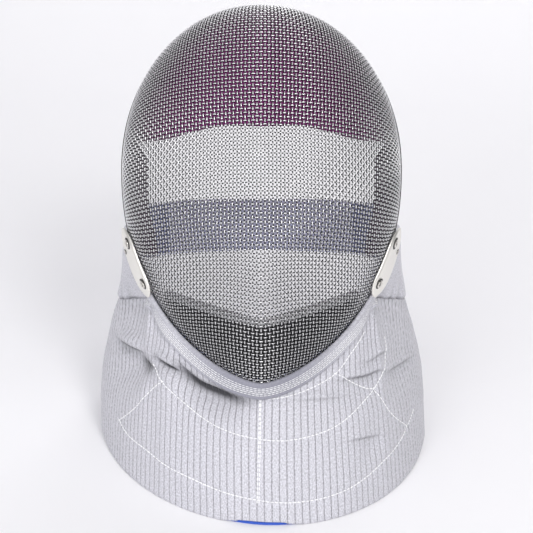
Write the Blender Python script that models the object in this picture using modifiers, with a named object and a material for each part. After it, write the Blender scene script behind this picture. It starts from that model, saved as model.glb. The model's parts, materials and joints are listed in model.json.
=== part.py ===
"""Fencing mask of the sabre kind: a woven wire dome on a rim, leaning back over a flared cloth bib.

Metres, +Z up. The face looks along -Y, and the bib's hem stands on z = 0. Pieces of the mask
proper are made in the mask's own frame, which leans back: there x runs across the face, -y
forward, and z up the plane of the rim. Angles round the rim run from 0 at its top, through +X, to
half a turn at the chin. Left and right in names are as seen from in front, so left is at -X.
"""

import math
from collections import namedtuple

import bmesh
import bpy
from mathutils import Matrix, Vector

GAP = 0.0003

# Steps in which a place is found by halving.
HALVINGS = 24

# How the mask stands: the mask frame's origin is the foot of the rim's plane.
LEAN = math.radians(17)
FRAME_LIFT = 0.0604

# The rim is a hoop of round wire that sweeps forward to the chin.
RIM_WIRE = 0.0034
RIM_HALF_WIDTH = 0.0995
RIM_WAIST = 0.150
RIM_TOP = 0.264
RIM_CHIN = 0.008
RIM_TOP_ROUNDNESS = 2.12
RIM_JAW_SIDE_ROUNDNESS = 1.6
RIM_JAW_TIP_ROUNDNESS = 2.2
CHIN_FORWARD = 0.058
CHIN_SWEEP = 2.7
RIM_STEPS = 80

# The dome of woven wire, two wires thick. Roundness is the exponent of a superellipse.
MESH_WALL = 0.0020
NOSE_HEIGHT = 0.110
NOSE_DEPTH = 0.109
DOME_BELLY = 0.018
DOME_TOP_ROUNDNESS = 1.82
DOME_SIDE_ROUNDNESS = 1.75
DOME_JAW_ROUNDNESS = 1.45
CREASE_DEPTH = 0.007
CREASE_REACH = 0.028
CREASE_ROUNDING = 0.003
DOME_CELLS = 20

# The rear mesh is a band behind the rim, from ear to ear over the crown.
REAR_END_STEPS = 24
REAR_DEPTH_TOP = 0.075
REAR_DEPTH_SIDE = 0.045
REAR_DROP = 0.029
REAR_PULL = 0.004
REAR_ROWS = 4
REAR_DROP_START = 0.35
EDGING = 0.0040

# Side plates clamp the cloth over the rim beside each cheek. Their turn shows the face.
PLATE_FROM = math.radians(103.5)
PLATE_TO = math.radians(124.5)
PLATE_WIDTH = 0.025
PLATE_WALL = 0.0012
PLATE_LIP = 0.0012
PLATE_LEAD = 0.006
PLATE_STAND = 0.0017
PLATE_TURN_LEFT = (math.radians(19), math.radians(24))
PLATE_TURN_RIGHT = (math.radians(18), math.radians(28))
PLATE_CORNERS = 4.0
PLATE_END_CUT = 0.78
PLATE_COLUMNS = 5
PLATE_ROWS = 12
RIVET_HEAD = 0.0088
RIVET_HEAD_SMALL = 0.0040
RIVET_RISE = 0.0014
RIVET_STEPS = 10
RIVET_RINGS = (0.0, 0.35, 0.70, 1.0)

# Each rivet's place along its plate, across it from its middle line, and the head's width.
RIVETS = {
    "top": (0.20, -0.18, RIVET_HEAD),
    "bottom": (0.80, -0.20, RIVET_HEAD),
    "small": (0.32, 0.36, RIVET_HEAD_SMALL),
}

# Smooth cloth flaps cover the ears, between the rear mesh and the bib.
FLAP_WALL = 0.0020
FLAP_FROM = math.radians(105)
FLAP_TO = math.radians(126.5)
FLAP_SET_BACK = 0.0065
FLAP_OVERHANG = 0.006
FLAP_REAR_TOP_X = 0.103
FLAP_REAR_FOOT_X = 0.109
FLAP_REAR_BACK = 0.057
FLAP_REAR_HEIGHT = 0.051
FLAP_HELD = 0.020
FLAP_FREED = 0.020
FLAP_COLUMNS = 8
FLAP_ROWS = 6

# The bib is a padded cloth skirt that flares from the rim and the flaps to its hem.
BIB_WALL = 0.0030
LINING_WALL = 0.0012
SEAM_GAP = 0.0014
HEM_HALF_WIDTH = 0.1245
HEM_CENTRE_BACK = 0.052
HEM_FRONT_REACH = 0.151
HEM_REAR_REACH = 0.045
HEM_SIDEWAYS = 0.010
HEM_SIDEWAYS_POWER = 1.3
HEM_REAR_TUCK = 0.009
HEM_ARC_SHARE = 0.83
HEM_CORNER_SHARE = 0.377
HEM_BAND = 0.003
HEM_LIFT = 0.0016
BULGE_FRONT = 0.006
BULGE_SIDE = 0.006
BIB_JAW_COLUMNS = 14
BIB_SIDE_COLUMNS = 12
BIB_ROWS = 9
LINING_FROM_ROW = 1

# The bib leaves the flap's front corner over the first part of the flap's foot, and its hem is
# lifted over the middle part of the front.
CORNER_PART = 0.25
HEM_LIFT_PART = 1 / 3

# Folds of the bib. Along runs from -1 at the left rear end to 1 at the right one, down from 0 at
# the top edge to 1 at the hem, reach is the half length along, and slant is the drop over it.
Fold = namedtuple("Fold", "along down reach slant width depth")
FOLDS = (
    Fold(along=-0.62, down=0.40, reach=0.20, slant=-0.14, width=0.10, depth=0.0050),
    Fold(along=-0.27, down=0.20, reach=0.20, slant=-0.06, width=0.11, depth=0.0050),
    Fold(along=0.44, down=0.34, reach=0.15, slant=0.10, width=0.10, depth=0.0030),
    Fold(along=0.66, down=0.42, reach=0.16, slant=-0.08, width=0.12, depth=0.0030),
    Fold(along=0.46, down=0.72, reach=0.10, slant=-0.04, width=0.09, depth=0.0014),
)

# The bib's top edge lies this far before the rim at the chin.
BIB_LAP = 0.0020
BIB_LAP_SHARE = 0.75

# A stitched band covers the joint between the dome, the rim and the bib.
TRIM_WALL = 0.0030
TRIM_ABOVE = 0.0050
TRIM_BELOW = 0.0048

# Pads lie against the inside of the dome. Heights are those of their free edges.
PAD_CLEARANCE = 0.0012
CROWN_PAD_THICKNESS = 0.013
CROWN_PAD_EDGE = 0.1925
CROWN_PAD_ARCH = 0.0155
CROWN_PAD_ARCH_POWER = 4.2
CROWN_PAD_END = math.radians(75)
CROWN_PAD_CELLS = (20, 5)
CHEEK_PAD_THICKNESS = 0.010
CHEEK_PAD_FROM = math.radians(79)
CHEEK_PAD_TO = math.radians(112)
CHEEK_PAD_SHARES = (0.70, 0.95)
CHEEK_PAD_CELLS = (8, 3)
CHIN_PAD_THICKNESS = 0.010
CHIN_PAD_EDGE = 0.050
CHIN_PAD_RISE = 0.010
CHIN_PAD_END = math.radians(128)
CHIN_PAD_CELLS = (14, 4)
PAD_RIM_SHARE = 0.93
BINDING = 0.0060
BINDING_STEPS = 14

# The back strap spans the rear opening from ear to ear.
STRAP_WIDTH = 0.040
STRAP_WALL = 0.0020
STRAP_HEIGHT = 0.104
STRAP_FRONT = 0.025
STRAP_REACH = 0.062
STRAP_COLUMNS = 18
STRAP_ROWS = 2

Finish = namedtuple("Finish", "colour roughness metallic")
FINISHES = {
    "wire": Finish((0.62, 0.63, 0.66), 0.30, 1.0),
    "plate": Finish((0.74, 0.72, 0.68), 0.32, 1.0),
    "lame": Finish((0.66, 0.65, 0.71), 0.60, 0.0),
    "lining": Finish((0.05, 0.10, 0.45), 0.80, 0.0),
    "plum_pad": Finish((0.16, 0.06, 0.14), 0.85, 0.0),
    "black_pad": Finish((0.02, 0.02, 0.02), 0.85, 0.0),
    "binding": Finish((0.60, 0.60, 0.64), 0.75, 0.0),
    "strap": Finish((0.30, 0.33, 0.47), 0.80, 0.0),
}

FORWARD = Vector((0, -1, 0))
DOWN = Vector((0, 0, -1))


def blend(first, second, share):
    return first + (second - first) * share


def smooth_step(share):
    share = min(max(share, 0.0), 1.0)
    return share * share * (3 - 2 * share)


def signed_power(value, power):
    return math.copysign(abs(value) ** power, value)


def rim_point(angle):
    """Point of the rim wire's centre line, in the mask frame."""
    if math.cos(angle) >= 0:
        side_power = tip_power = 2 / RIM_TOP_ROUNDNESS
        rise = RIM_TOP - RIM_WAIST
    else:
        side_power = 2 / RIM_JAW_SIDE_ROUNDNESS
        tip_power = 2 / RIM_JAW_TIP_ROUNDNESS
        rise = RIM_WAIST - RIM_CHIN
    x = RIM_HALF_WIDTH * signed_power(math.sin(angle), side_power)
    height = RIM_WAIST + rise * signed_power(math.cos(angle), tip_power)
    fall = max(0.0, (RIM_WAIST - height) / (RIM_WAIST - RIM_CHIN))
    return Vector((x, -CHIN_FORWARD * fall**CHIN_SWEEP, height))


def rim_outward(angle):
    """Direction away from the rim's inside, square to the wire and to the forward direction."""
    step = math.radians(0.5)
    tangent = rim_point(angle + step) - rim_point(angle - step)
    return FORWARD.cross(tangent).normalized()


def dome_surface(angle, share):
    """Point of the dome's middle surface: share 0 is the nose, share 1 the rim's centre line."""
    rim = rim_point(angle)
    up = max(0.0, math.cos(angle))
    jaw = max(0.0, -math.cos(angle))
    belly = DOME_BELLY * up * up
    radial_power = 2 / (DOME_SIDE_ROUNDNESS + (DOME_TOP_ROUNDNESS - DOME_SIDE_ROUNDNESS) * up)
    depth_power = radial_power
    radial_power = blend(radial_power, 2 / DOME_JAW_ROUNDNESS, jaw)
    depth_power = blend(depth_power, 2.0, jaw)
    base = belly - rim.y
    depth = NOSE_DEPTH - base
    last = math.pi / 2 + math.asin((belly / depth) ** (1 / depth_power))
    turn = share * last
    radial = (math.sin(turn) / math.sin(last)) ** radial_power
    x = rim.x * radial
    height = blend(NOSE_HEIGHT, rim.z, radial)
    forward = base + depth * signed_power(math.cos(turn), depth_power)
    crease = CREASE_DEPTH * math.exp(-math.hypot(x, CREASE_ROUNDING) / CREASE_REACH)
    return Vector((x, -forward - crease * max(0.0, math.cos(turn)), height))


def dome_layer(angle, share, depth):
    """Point this deep inside the dome's inner face, and the direction inwards."""
    step = 0.01
    middle = dome_surface(angle, share)
    along = dome_surface(angle, share - step) - dome_surface(angle, share + step)
    around = dome_surface(angle + step, share) - dome_surface(angle - step, share)
    inward = around.cross(along).normalized()
    if inward.dot(Vector((0, 0, RIM_WAIST)) - middle) < 0:
        inward.negate()
    return middle + inward * (MESH_WALL / 2 + depth), inward


def halve(near, far, is_near):
    """Finds by halving the number between two at which is_near turns false."""
    for _ in range(HALVINGS):
        middle = (near + far) / 2
        if is_near(middle):
            near = middle
        else:
            far = middle
    return near


def share_clear_of_rim(angle, clearance):
    """Share of the dome's arc that ends this far from the rim's centre line."""
    rim = rim_point(angle)
    return halve(0.5, 1.0, lambda share: (dome_surface(angle, share) - rim).length > clearance)


def share_at_height(angle, height):
    """Share of the dome's arc at which it reaches this height."""
    rising = rim_point(angle).z > NOSE_HEIGHT
    return halve(0.0, 1.0, lambda share: (dome_surface(angle, share).z < height) == rising)


def rear_surface(angle, share):
    """Point of the rear mesh's middle surface: share 0 lies on the rim's centre line."""
    rim = rim_point(angle)
    up = smooth_step(max(0.0, math.cos(angle)))
    back = blend(REAR_DEPTH_SIDE, REAR_DEPTH_TOP, up) * share
    inward = REAR_PULL * share * share * math.sin(angle)
    drop = REAR_DROP * up * blend(share * share, share, REAR_DROP_START)
    return Vector((rim.x - inward, rim.y + back, rim.z - drop))


def rear_start(angle):
    return (RIM_WIRE / 2 + GAP) / (rear_surface(angle, 1) - rear_surface(angle, 0)).length


def flap_offset():
    """How far the flap's middle lies outside the rear mesh's."""
    return MESH_WALL / 2 + GAP + FLAP_WALL / 2


def flap_point(side, back, down):
    """Point of an ear flap's middle surface. It leaves the clamping plate straight back, then flares."""
    angle = side * blend(FLAP_FROM, FLAP_TO, down)
    front = rim_point(angle) + rim_outward(angle) * flap_offset() - FORWARD * FLAP_SET_BACK
    mesh_end = rear_surface(side * rear_end_angle(), 1)
    rear_top = Vector((side * FLAP_REAR_TOP_X, mesh_end.y + FLAP_OVERHANG, mesh_end.z + FLAP_OVERHANG))
    rear_foot = Vector((side * FLAP_REAR_FOOT_X, FLAP_REAR_BACK, FLAP_REAR_HEIGHT))
    rear = rear_top.lerp(rear_foot, down)
    held = front - FORWARD * FLAP_HELD
    freed = rear + FORWARD * FLAP_FREED
    rest = 1 - back
    return front * rest**3 + held * 3 * rest**2 * back + freed * 3 * rest * back**2 + rear * back**3


def rear_end_angle():
    return math.tau * REAR_END_STEPS / RIM_STEPS


def frame_matrix():
    return Matrix.Translation((0, 0, FRAME_LIFT)) @ Matrix.Rotation(-LEAN, 4, "X")


def jaw_share():
    """Share of the bib's top edge, from its middle, that follows the rim."""
    return BIB_JAW_COLUMNS / (BIB_JAW_COLUMNS + BIB_SIDE_COLUMNS)


def bib_top(along):
    """Point of the bib's top edge, in the mask frame."""
    if abs(along) <= jaw_share():
        angle = math.pi - (math.pi - FLAP_TO) * along / jaw_share()
        corner = smooth_step((abs(along) / jaw_share() - BIB_LAP_SHARE) / (1 - BIB_LAP_SHARE))
        below = blend(RIM_WIRE / 2 + GAP + BIB_WALL / 2, flap_offset(), corner) + SEAM_GAP
        lap = blend(BIB_LAP, -FLAP_SET_BACK, corner)
        return rim_point(angle) + rim_outward(angle) * below + FORWARD * lap
    side = math.copysign(1, along)
    back = (abs(along) - jaw_share()) / (1 - jaw_share())
    corner = bib_top(side * jaw_share()) - flap_point(side, 0, 1)
    return flap_point(side, back, 1) + corner.lerp(DOWN * SEAM_GAP, smooth_step(back / CORNER_PART))


def hem_curve(share):
    """Point of the hem on the table: share runs from -1 at the left rear end to 1 at the right one."""
    if abs(share) <= HEM_ARC_SHARE:
        turn = math.pi / 2 * share / HEM_ARC_SHARE
        turn -= HEM_SIDEWAYS / HEM_HALF_WIDTH * math.cos(turn) ** 2
        front = max(0.0, math.cos(turn))
        x = HEM_HALF_WIDTH * math.sin(turn) + HEM_SIDEWAYS * front**HEM_SIDEWAYS_POWER
        return Vector((x, HEM_CENTRE_BACK - HEM_FRONT_REACH * front, 0))
    back = (abs(share) - HEM_ARC_SHARE) / (1 - HEM_ARC_SHARE)
    x = math.copysign(HEM_HALF_WIDTH - HEM_REAR_TUCK * back**2, share)
    return Vector((x, HEM_CENTRE_BACK + HEM_REAR_REACH * back, 0))


def hem_point(along):
    """Foot of this line of the cloth on the hem, and the direction away from the bib's inside."""
    beside = (abs(along) - jaw_share()) / (1 - jaw_share())
    if beside > 0:
        share = math.copysign(blend(HEM_CORNER_SHARE, 1, beside), along)
    else:
        share = HEM_CORNER_SHARE * along / jaw_share()
    step = 0.005
    run = hem_curve(share + step) - hem_curve(share - step)
    return hem_curve(share), Vector((run.y, -run.x, 0)).normalized()


def fold_depth(along, down):
    """How far the folds press the bib in at this place."""
    total = 0.0
    for fold in FOLDS:
        distance = (along - fold.along) / fold.reach
        if abs(distance) < 1:
            line = fold.down + fold.slant * distance
            total += fold.depth * (1 - distance**2) ** 2 * math.exp(-(((down - line) / fold.width) ** 2))
    return total


def bib_point(along, down):
    """Point of the bib's middle surface, from its top edge down to the hem's upright band."""
    top = frame_matrix() @ bib_top(along)
    hem, outward = hem_point(along)
    hem.z = HEM_BAND
    fall = (hem - top).normalized()
    normal = (outward - fall * outward.dot(fall)).normalized()
    bulge = blend(BULGE_FRONT, BULGE_SIDE, smooth_step(abs(hem.x) / HEM_HALF_WIDTH))
    swell = bulge * 4 * down * (1 - down) - fold_depth(along, down)
    return top.lerp(hem, down) + normal * swell


def hem_lift(along):
    """The hem is lifted a little at the front, where the lining shows under it."""
    return HEM_LIFT * max(0.0, 1 - (along / jaw_share() / HEM_LIFT_PART) ** 2)


def finish_material(name):
    found = bpy.data.materials.get(name)
    if found:
        return found
    finish = FINISHES[name]
    material = bpy.data.materials.new(name)
    material.use_nodes = True
    shader = material.node_tree.nodes["Principled BSDF"]
    shader.inputs["Base Color"].default_value = (*finish.colour, 1)
    shader.inputs["Roughness"].default_value = finish.roughness
    shader.inputs["Metallic"].default_value = finish.metallic
    material.diffuse_color = (*finish.colour, 1)
    return material


def piece_material(name, finish):
    """Each piece has its own material, a copy of its finish."""
    material = finish_material(finish).copy()
    material.name = name
    return material


def add_object(name, data, finish, parent, collection):
    piece = bpy.data.objects.new(name, data)
    data.materials.append(piece_material(name, finish))
    collection.objects.link(piece)
    piece.parent = parent
    return piece


def grid_mesh(name, columns, rows, place):
    """Grid of quads, each of whose points is moved to place(u, v), with u and v from 0 to 1."""
    shape = bmesh.new()
    bmesh.ops.create_grid(shape, x_segments=columns, y_segments=rows, size=1)
    for vertex in shape.verts:
        vertex.co = place((vertex.co.x + 1) / 2, (vertex.co.y + 1) / 2)
    shape.normal_update()
    return shape


def to_mesh(shape, name):
    mesh = bpy.data.meshes.new(name)
    shape.to_mesh(mesh)
    shape.free()
    mesh.shade_smooth()
    return mesh


def push(shape, distance):
    """Moves a surface along its own normals."""
    for vertex, normal in [(vertex, vertex.normal.copy()) for vertex in shape.verts]:
        vertex.co += normal * distance


def add_wall(piece, thickness, offset=0.0):
    wall = piece.modifiers.new("wall", "SOLIDIFY")
    wall.thickness = thickness
    wall.offset = offset
    return wall


def tube(name, points, diameter, cyclic=False, resolution=1):
    """Round tube through the points."""
    curve = bpy.data.curves.new(name, "CURVE")
    curve.dimensions = "3D"
    curve.bevel_depth = diameter / 2
    curve.bevel_resolution = resolution
    curve.use_fill_caps = not cyclic
    spline = curve.splines.new("POLY")
    spline.points.add(len(points) - 1)
    for target, point in zip(spline.points, points):
        target.co = (*point, 1)
    spline.use_cyclic_u = cyclic
    return curve


def square_to_disc(u, v):
    """Turns a place on a square from -1 to 1 into an angle and a share of a disc's radius."""
    radius = max(abs(u), abs(v))
    if radius < 1e-9:
        return 0.0, 0.0
    if abs(v) >= abs(u):
        angle = math.pi / 4 * u / v
        return (angle if v > 0 else angle + math.pi), radius
    angle = math.pi / 2 - math.pi / 4 * v / u
    return (angle if u > 0 else angle + math.pi), radius


def make_front_mesh(frame, collection):
    """The dome: a square grid drawn onto a disc, so that it has no pole at the nose."""
    clearance = RIM_WIRE / 2 + GAP

    def place(u, v):
        angle, radius = square_to_disc(2 * u - 1, 2 * v - 1)
        return dome_surface(angle, radius * share_clear_of_rim(angle, clearance))

    shape = grid_mesh("front_mesh", DOME_CELLS, DOME_CELLS, place)
    piece = add_object("front_mesh", to_mesh(shape, "front_mesh"), "wire", frame, collection)
    add_wall(piece, MESH_WALL)


def make_rim_wire(frame, collection):
    points = [rim_point(math.tau * step / RIM_STEPS) for step in range(RIM_STEPS)]
    curve = tube("rim_wire", points, RIM_WIRE, cyclic=True)
    add_object("rim_wire", curve, "wire", frame, collection)


def rear_angles():
    return [math.tau * step / RIM_STEPS for step in range(-REAR_END_STEPS, REAR_END_STEPS + 1)]


def make_rear_mesh(frame, collection):
    def place(u, v):
        angle = blend(-rear_end_angle(), rear_end_angle(), u)
        return rear_surface(angle, blend(rear_start(angle), 1, v))

    shape = grid_mesh("rear_mesh", 2 * REAR_END_STEPS, REAR_ROWS, place)
    piece = add_object("rear_mesh", to_mesh(shape, "rear_mesh"), "wire", frame, collection)
    add_wall(piece, MESH_WALL)


def make_rear_edging(frame, collection):
    """A plain cord-like binding runs along the free rear edge."""
    reach = 1 + (EDGING / 2 + GAP) / REAR_DEPTH_SIDE
    points = []
    for angle in rear_angles():
        edge = rear_surface(angle, 1)
        direction = (rear_surface(angle, reach) - edge).normalized()
        points.append(edge + direction * (EDGING / 2 + GAP))
    curve = tube("rear_edging", points, EDGING)
    add_object("rear_edging", curve, "binding", frame, collection)


def plate_frame(side, along):
    """Place of a plate's middle line, its backward direction and its outward one."""
    turn = blend(*(PLATE_TURN_LEFT if side < 0 else PLATE_TURN_RIGHT), along)
    angle = side * blend(PLATE_FROM, PLATE_TO, along)
    outward = rim_outward(angle)
    backward = (-FORWARD * math.cos(turn) + outward * math.sin(turn)).normalized()
    face = (outward * math.cos(turn) + FORWARD * math.sin(turn)).normalized()
    stand_off = (RIM_WIRE / 2 + 3 * GAP + PLATE_WALL / 2 + PLATE_STAND) / math.cos(turn)
    return rim_point(angle) + outward * stand_off - backward * PLATE_LEAD, backward, face


def plate_half_width(along):
    """The plate's ends are rounded."""
    return PLATE_WIDTH / 2 * (1 - abs(2 * along - 1) ** PLATE_CORNERS * PLATE_END_CUT)


def make_side_plate(name, side, frame, collection):
    """A strip that follows the rim, with a lip along its front edge bent in towards the mesh."""

    def place(u, v):
        middle, backward, face = plate_frame(side, v)
        half = plate_half_width(v)
        column = round(u * PLATE_COLUMNS)
        if column == 0:
            return middle - backward * half - face * PLATE_LIP
        across = blend(-half, half, (column - 1) / (PLATE_COLUMNS - 1))
        return middle + backward * across

    shape = grid_mesh(name, PLATE_COLUMNS, PLATE_ROWS, place)
    piece = add_object(name, to_mesh(shape, name), "plate", frame, collection)
    add_wall(piece, PLATE_WALL)


def make_rivet(name, side, along, across, head, frame, collection):
    """A low domed head, turned, on the plate's face."""
    rise = RIVET_RISE * head / RIVET_HEAD
    shape = bmesh.new()
    profile = []
    for ring in RIVET_RINGS:
        turn = ring * math.pi / 2
        profile.append(shape.verts.new((head / 2 * math.sin(turn), 0, rise * math.cos(turn))))
    profile.append(shape.verts.new((0, 0, 0)))
    for first, second in zip(profile, profile[1:]):
        shape.edges.new((first, second))
    piece = add_object(name, to_mesh(shape, name), "plate", frame, collection)
    screw = piece.modifiers.new("turn", "SCREW")
    screw.steps = screw.render_steps = RIVET_STEPS
    screw.use_merge_vertices = True
    screw.merge_threshold = 0.00001
    middle, backward, face = plate_frame(side, along)
    piece.location = middle + backward * across * PLATE_WIDTH + face * (PLATE_WALL / 2 + 2 * GAP)
    piece.rotation_mode = "QUATERNION"
    piece.rotation_quaternion = face.to_track_quat("Z", "Y")


def make_ear_flap(name, side, frame, collection):
    shape = grid_mesh(name, FLAP_COLUMNS, FLAP_ROWS, lambda u, v: flap_point(side, u, v))
    piece = add_object(name, to_mesh(shape, name), "lame", frame, collection)
    add_wall(piece, FLAP_WALL)


def bib_grid(name, first_row):
    """The bib's middle surface from this row down, with an upright band at its foot."""
    columns = 2 * (BIB_JAW_COLUMNS + BIB_SIDE_COLUMNS)
    rows = BIB_ROWS + 1 - first_row

    def place(u, v):
        along = 2 * u - 1
        row = round((1 - v) * rows) + first_row
        if row <= BIB_ROWS:
            return bib_point(along, row / BIB_ROWS)
        return bib_point(along, 1) + DOWN * HEM_BAND

    return grid_mesh(name, columns, rows, place)


def make_bib(root, collection):
    shape = bib_grid("bib", 0)
    for vertex in shape.verts:
        if vertex.co.z <= HEM_BAND + GAP:
            vertex.co.z += hem_lift(vertex.co.x / HEM_HALF_WIDTH)
    piece = add_object("bib", to_mesh(shape, "bib"), "lame", root, collection)
    add_wall(piece, BIB_WALL)


def make_bib_lining(root, collection):
    """The lining is the bib's own surface, moved in by both walls' halves and a gap."""
    shape = bib_grid("bib_lining", LINING_FROM_ROW)
    push(shape, -(BIB_WALL / 2 + GAP + GAP + LINING_WALL / 2))
    piece = add_object("bib_lining", to_mesh(shape, "bib_lining"), "lining", root, collection)
    add_wall(piece, LINING_WALL)


def trim_section(along):
    """The trim's middle line across its width: on the bib, over the joint, and on the dome."""
    frame = frame_matrix()
    angle = math.pi - (math.pi - FLAP_TO) * along / jaw_share()
    step = 0.01
    top = bib_point(along, 0)
    fall = (bib_point(along, step) - top).normalized()
    run = bib_point(along + step, 0) - bib_point(along - step, 0)
    stand_off = run.cross(-fall).normalized() * (BIB_WALL / 2 + GAP + TRIM_WALL / 2)
    share = share_clear_of_rim(angle, TRIM_ABOVE)
    upper = frame @ dome_layer(angle, share, -(MESH_WALL + 2 * GAP + TRIM_WALL / 2))[0]
    lower = top + fall * TRIM_BELOW + stand_off
    return lower, top + stand_off, upper


def make_chin_trim(root, collection):
    """A band over the bib's top margin that reaches up to the dome."""
    columns = 2 * BIB_JAW_COLUMNS
    end = jaw_share() * (1 - 0.5 / BIB_JAW_COLUMNS)

    def place(u, v):
        return trim_section(blend(-end, end, u))[round(2 * v)]

    shape = grid_mesh("chin_trim", columns, 2, place)
    piece = add_object("chin_trim", to_mesh(shape, "chin_trim"), "lame", root, collection)
    add_wall(piece, TRIM_WALL)


def make_pad(name, finish, thickness, cells, edges, frame, collection):
    """A pad is a patch of the dome's inside, between two angles and two shares of its arc."""
    first, last, shares = edges

    def place(u, v):
        angle = blend(first, last, u)
        return dome_layer(angle, blend(*shares(angle), v), PAD_CLEARANCE + thickness / 2)[0]

    shape = grid_mesh(name, *cells, place)
    piece = add_object(name, to_mesh(shape, name), finish, frame, collection)
    add_wall(piece, thickness)


def crown_pad_shares(angle):
    arch = CROWN_PAD_ARCH * abs(math.sin(angle) / math.sin(CROWN_PAD_END)) ** CROWN_PAD_ARCH_POWER
    return share_at_height(angle, CROWN_PAD_EDGE - arch), PAD_RIM_SHARE


def chin_pad_shares(angle):
    rise = CHIN_PAD_RISE * (math.sin(angle) / math.sin(CHIN_PAD_END)) ** 2
    return share_at_height(angle, CHIN_PAD_EDGE + rise), PAD_RIM_SHARE


def make_crown_pad(frame, collection):
    edges = (-CROWN_PAD_END, CROWN_PAD_END, crown_pad_shares)
    make_pad("crown_pad", "plum_pad", CROWN_PAD_THICKNESS, CROWN_PAD_CELLS, edges, frame, collection)


def make_cheek_pad(name, side, frame, collection):
    edges = (side * CHEEK_PAD_FROM, side * CHEEK_PAD_TO, lambda angle: CHEEK_PAD_SHARES)
    make_pad(name, "plum_pad", CHEEK_PAD_THICKNESS, CHEEK_PAD_CELLS, edges, frame, collection)


def make_chin_pad(frame, collection):
    edges = (CHIN_PAD_END, math.tau - CHIN_PAD_END, chin_pad_shares)
    make_pad("chin_pad", "black_pad", CHIN_PAD_THICKNESS, CHIN_PAD_CELLS, edges, frame, collection)


def make_chin_pad_binding(frame, collection):
    """A cord of cloth along the chin pad's upper edge."""

    def edge_of(angle):
        share = chin_pad_shares(angle)[0]
        return dome_layer(angle, share, PAD_CLEARANCE + CHIN_PAD_THICKNESS / 2)

    points = []
    for step in range(BINDING_STEPS + 1):
        angle = blend(CHIN_PAD_END, math.tau - CHIN_PAD_END, step / BINDING_STEPS)
        edge, inward = edge_of(angle)
        run = edge_of(angle + 0.02)[0] - edge_of(angle - 0.02)[0]
        upward = inward.cross(run).normalized()
        if upward.z < 0:
            upward.negate()
        points.append(edge + upward * (BINDING / 2 + 2 * GAP))
    curve = tube("chin_pad_binding", points, BINDING)
    add_object("chin_pad_binding", curve, "binding", frame, collection)


def make_back_strap(frame, collection):
    """The strap lies inside the rear mesh at both ends and bows back between them."""
    end_angle = rear_end_angle()
    share = STRAP_FRONT / REAR_DEPTH_SIDE
    half_span = rear_surface(end_angle, share).x - MESH_WALL / 2 - 2 * GAP - STRAP_WALL / 2

    def place(u, v):
        turn = math.pi * u
        height = STRAP_HEIGHT + STRAP_WIDTH * (v - 0.5)
        back = STRAP_FRONT + STRAP_REACH * math.sin(turn)
        return Vector((-half_span * math.cos(turn), back, height))

    shape = grid_mesh("back_strap", STRAP_COLUMNS, STRAP_ROWS, place)
    piece = add_object("back_strap", to_mesh(shape, "back_strap"), "strap", frame, collection)
    add_wall(piece, STRAP_WALL)


def seat_at_origin(root, collection):
    """Moves the whole mask along Y so that the origin is at the bottom centre of its box."""
    bpy.context.view_layer.update()
    graph = bpy.context.evaluated_depsgraph_get()
    reach = []
    for piece in collection.objects:
        if piece.type == "EMPTY":
            continue
        evaluated = piece.evaluated_get(graph)
        mesh = evaluated.to_mesh()
        reach += [(evaluated.matrix_world @ vertex.co).y for vertex in mesh.vertices]
        evaluated.to_mesh_clear()
    root.location.y -= (min(reach) + max(reach)) / 2


def main():
    for leftover in list(bpy.data.objects):
        bpy.data.objects.remove(leftover)
    collection = bpy.data.collections.new("fencing_mask")
    bpy.context.scene.collection.children.link(collection)

    root = bpy.data.objects.new("mask_root", None)
    frame = bpy.data.objects.new("mask_frame", None)
    collection.objects.link(root)
    collection.objects.link(frame)
    frame.parent = root
    frame.location.z = FRAME_LIFT
    frame.rotation_euler.x = -LEAN

    make_front_mesh(frame, collection)
    make_rim_wire(frame, collection)
    make_rear_mesh(frame, collection)
    make_rear_edging(frame, collection)
    for name, side in (("left", -1), ("right", 1)):
        make_side_plate(f"side_plate_{name}", side, frame, collection)
        for spot, (along, across, head) in RIVETS.items():
            make_rivet(f"rivet_{name}_{spot}", side, along, across, head, frame, collection)
        make_ear_flap(f"ear_flap_{name}", side, frame, collection)
        make_cheek_pad(f"cheek_pad_{name}", side, frame, collection)
    make_chin_trim(root, collection)
    make_bib(root, collection)
    make_bib_lining(root, collection)
    make_crown_pad(frame, collection)
    make_chin_pad(frame, collection)
    make_chin_pad_binding(frame, collection)
    make_back_strap(frame, collection)
    seat_at_origin(root, collection)


main()
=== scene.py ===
"""Looks of a sabre fencing mask: woven wire, ribbed conductive cloth, padding and a pale studio floor.

Laid out as a Blender add-on. Lengths are in metres. The mask's own frame leans back: in it x runs
across the face, -y forward and z up the plane of the rim. Angles round the rim run from 0 at its
top through +X to half a turn at the chin. Left and right are as seen from in front.
"""

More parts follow.
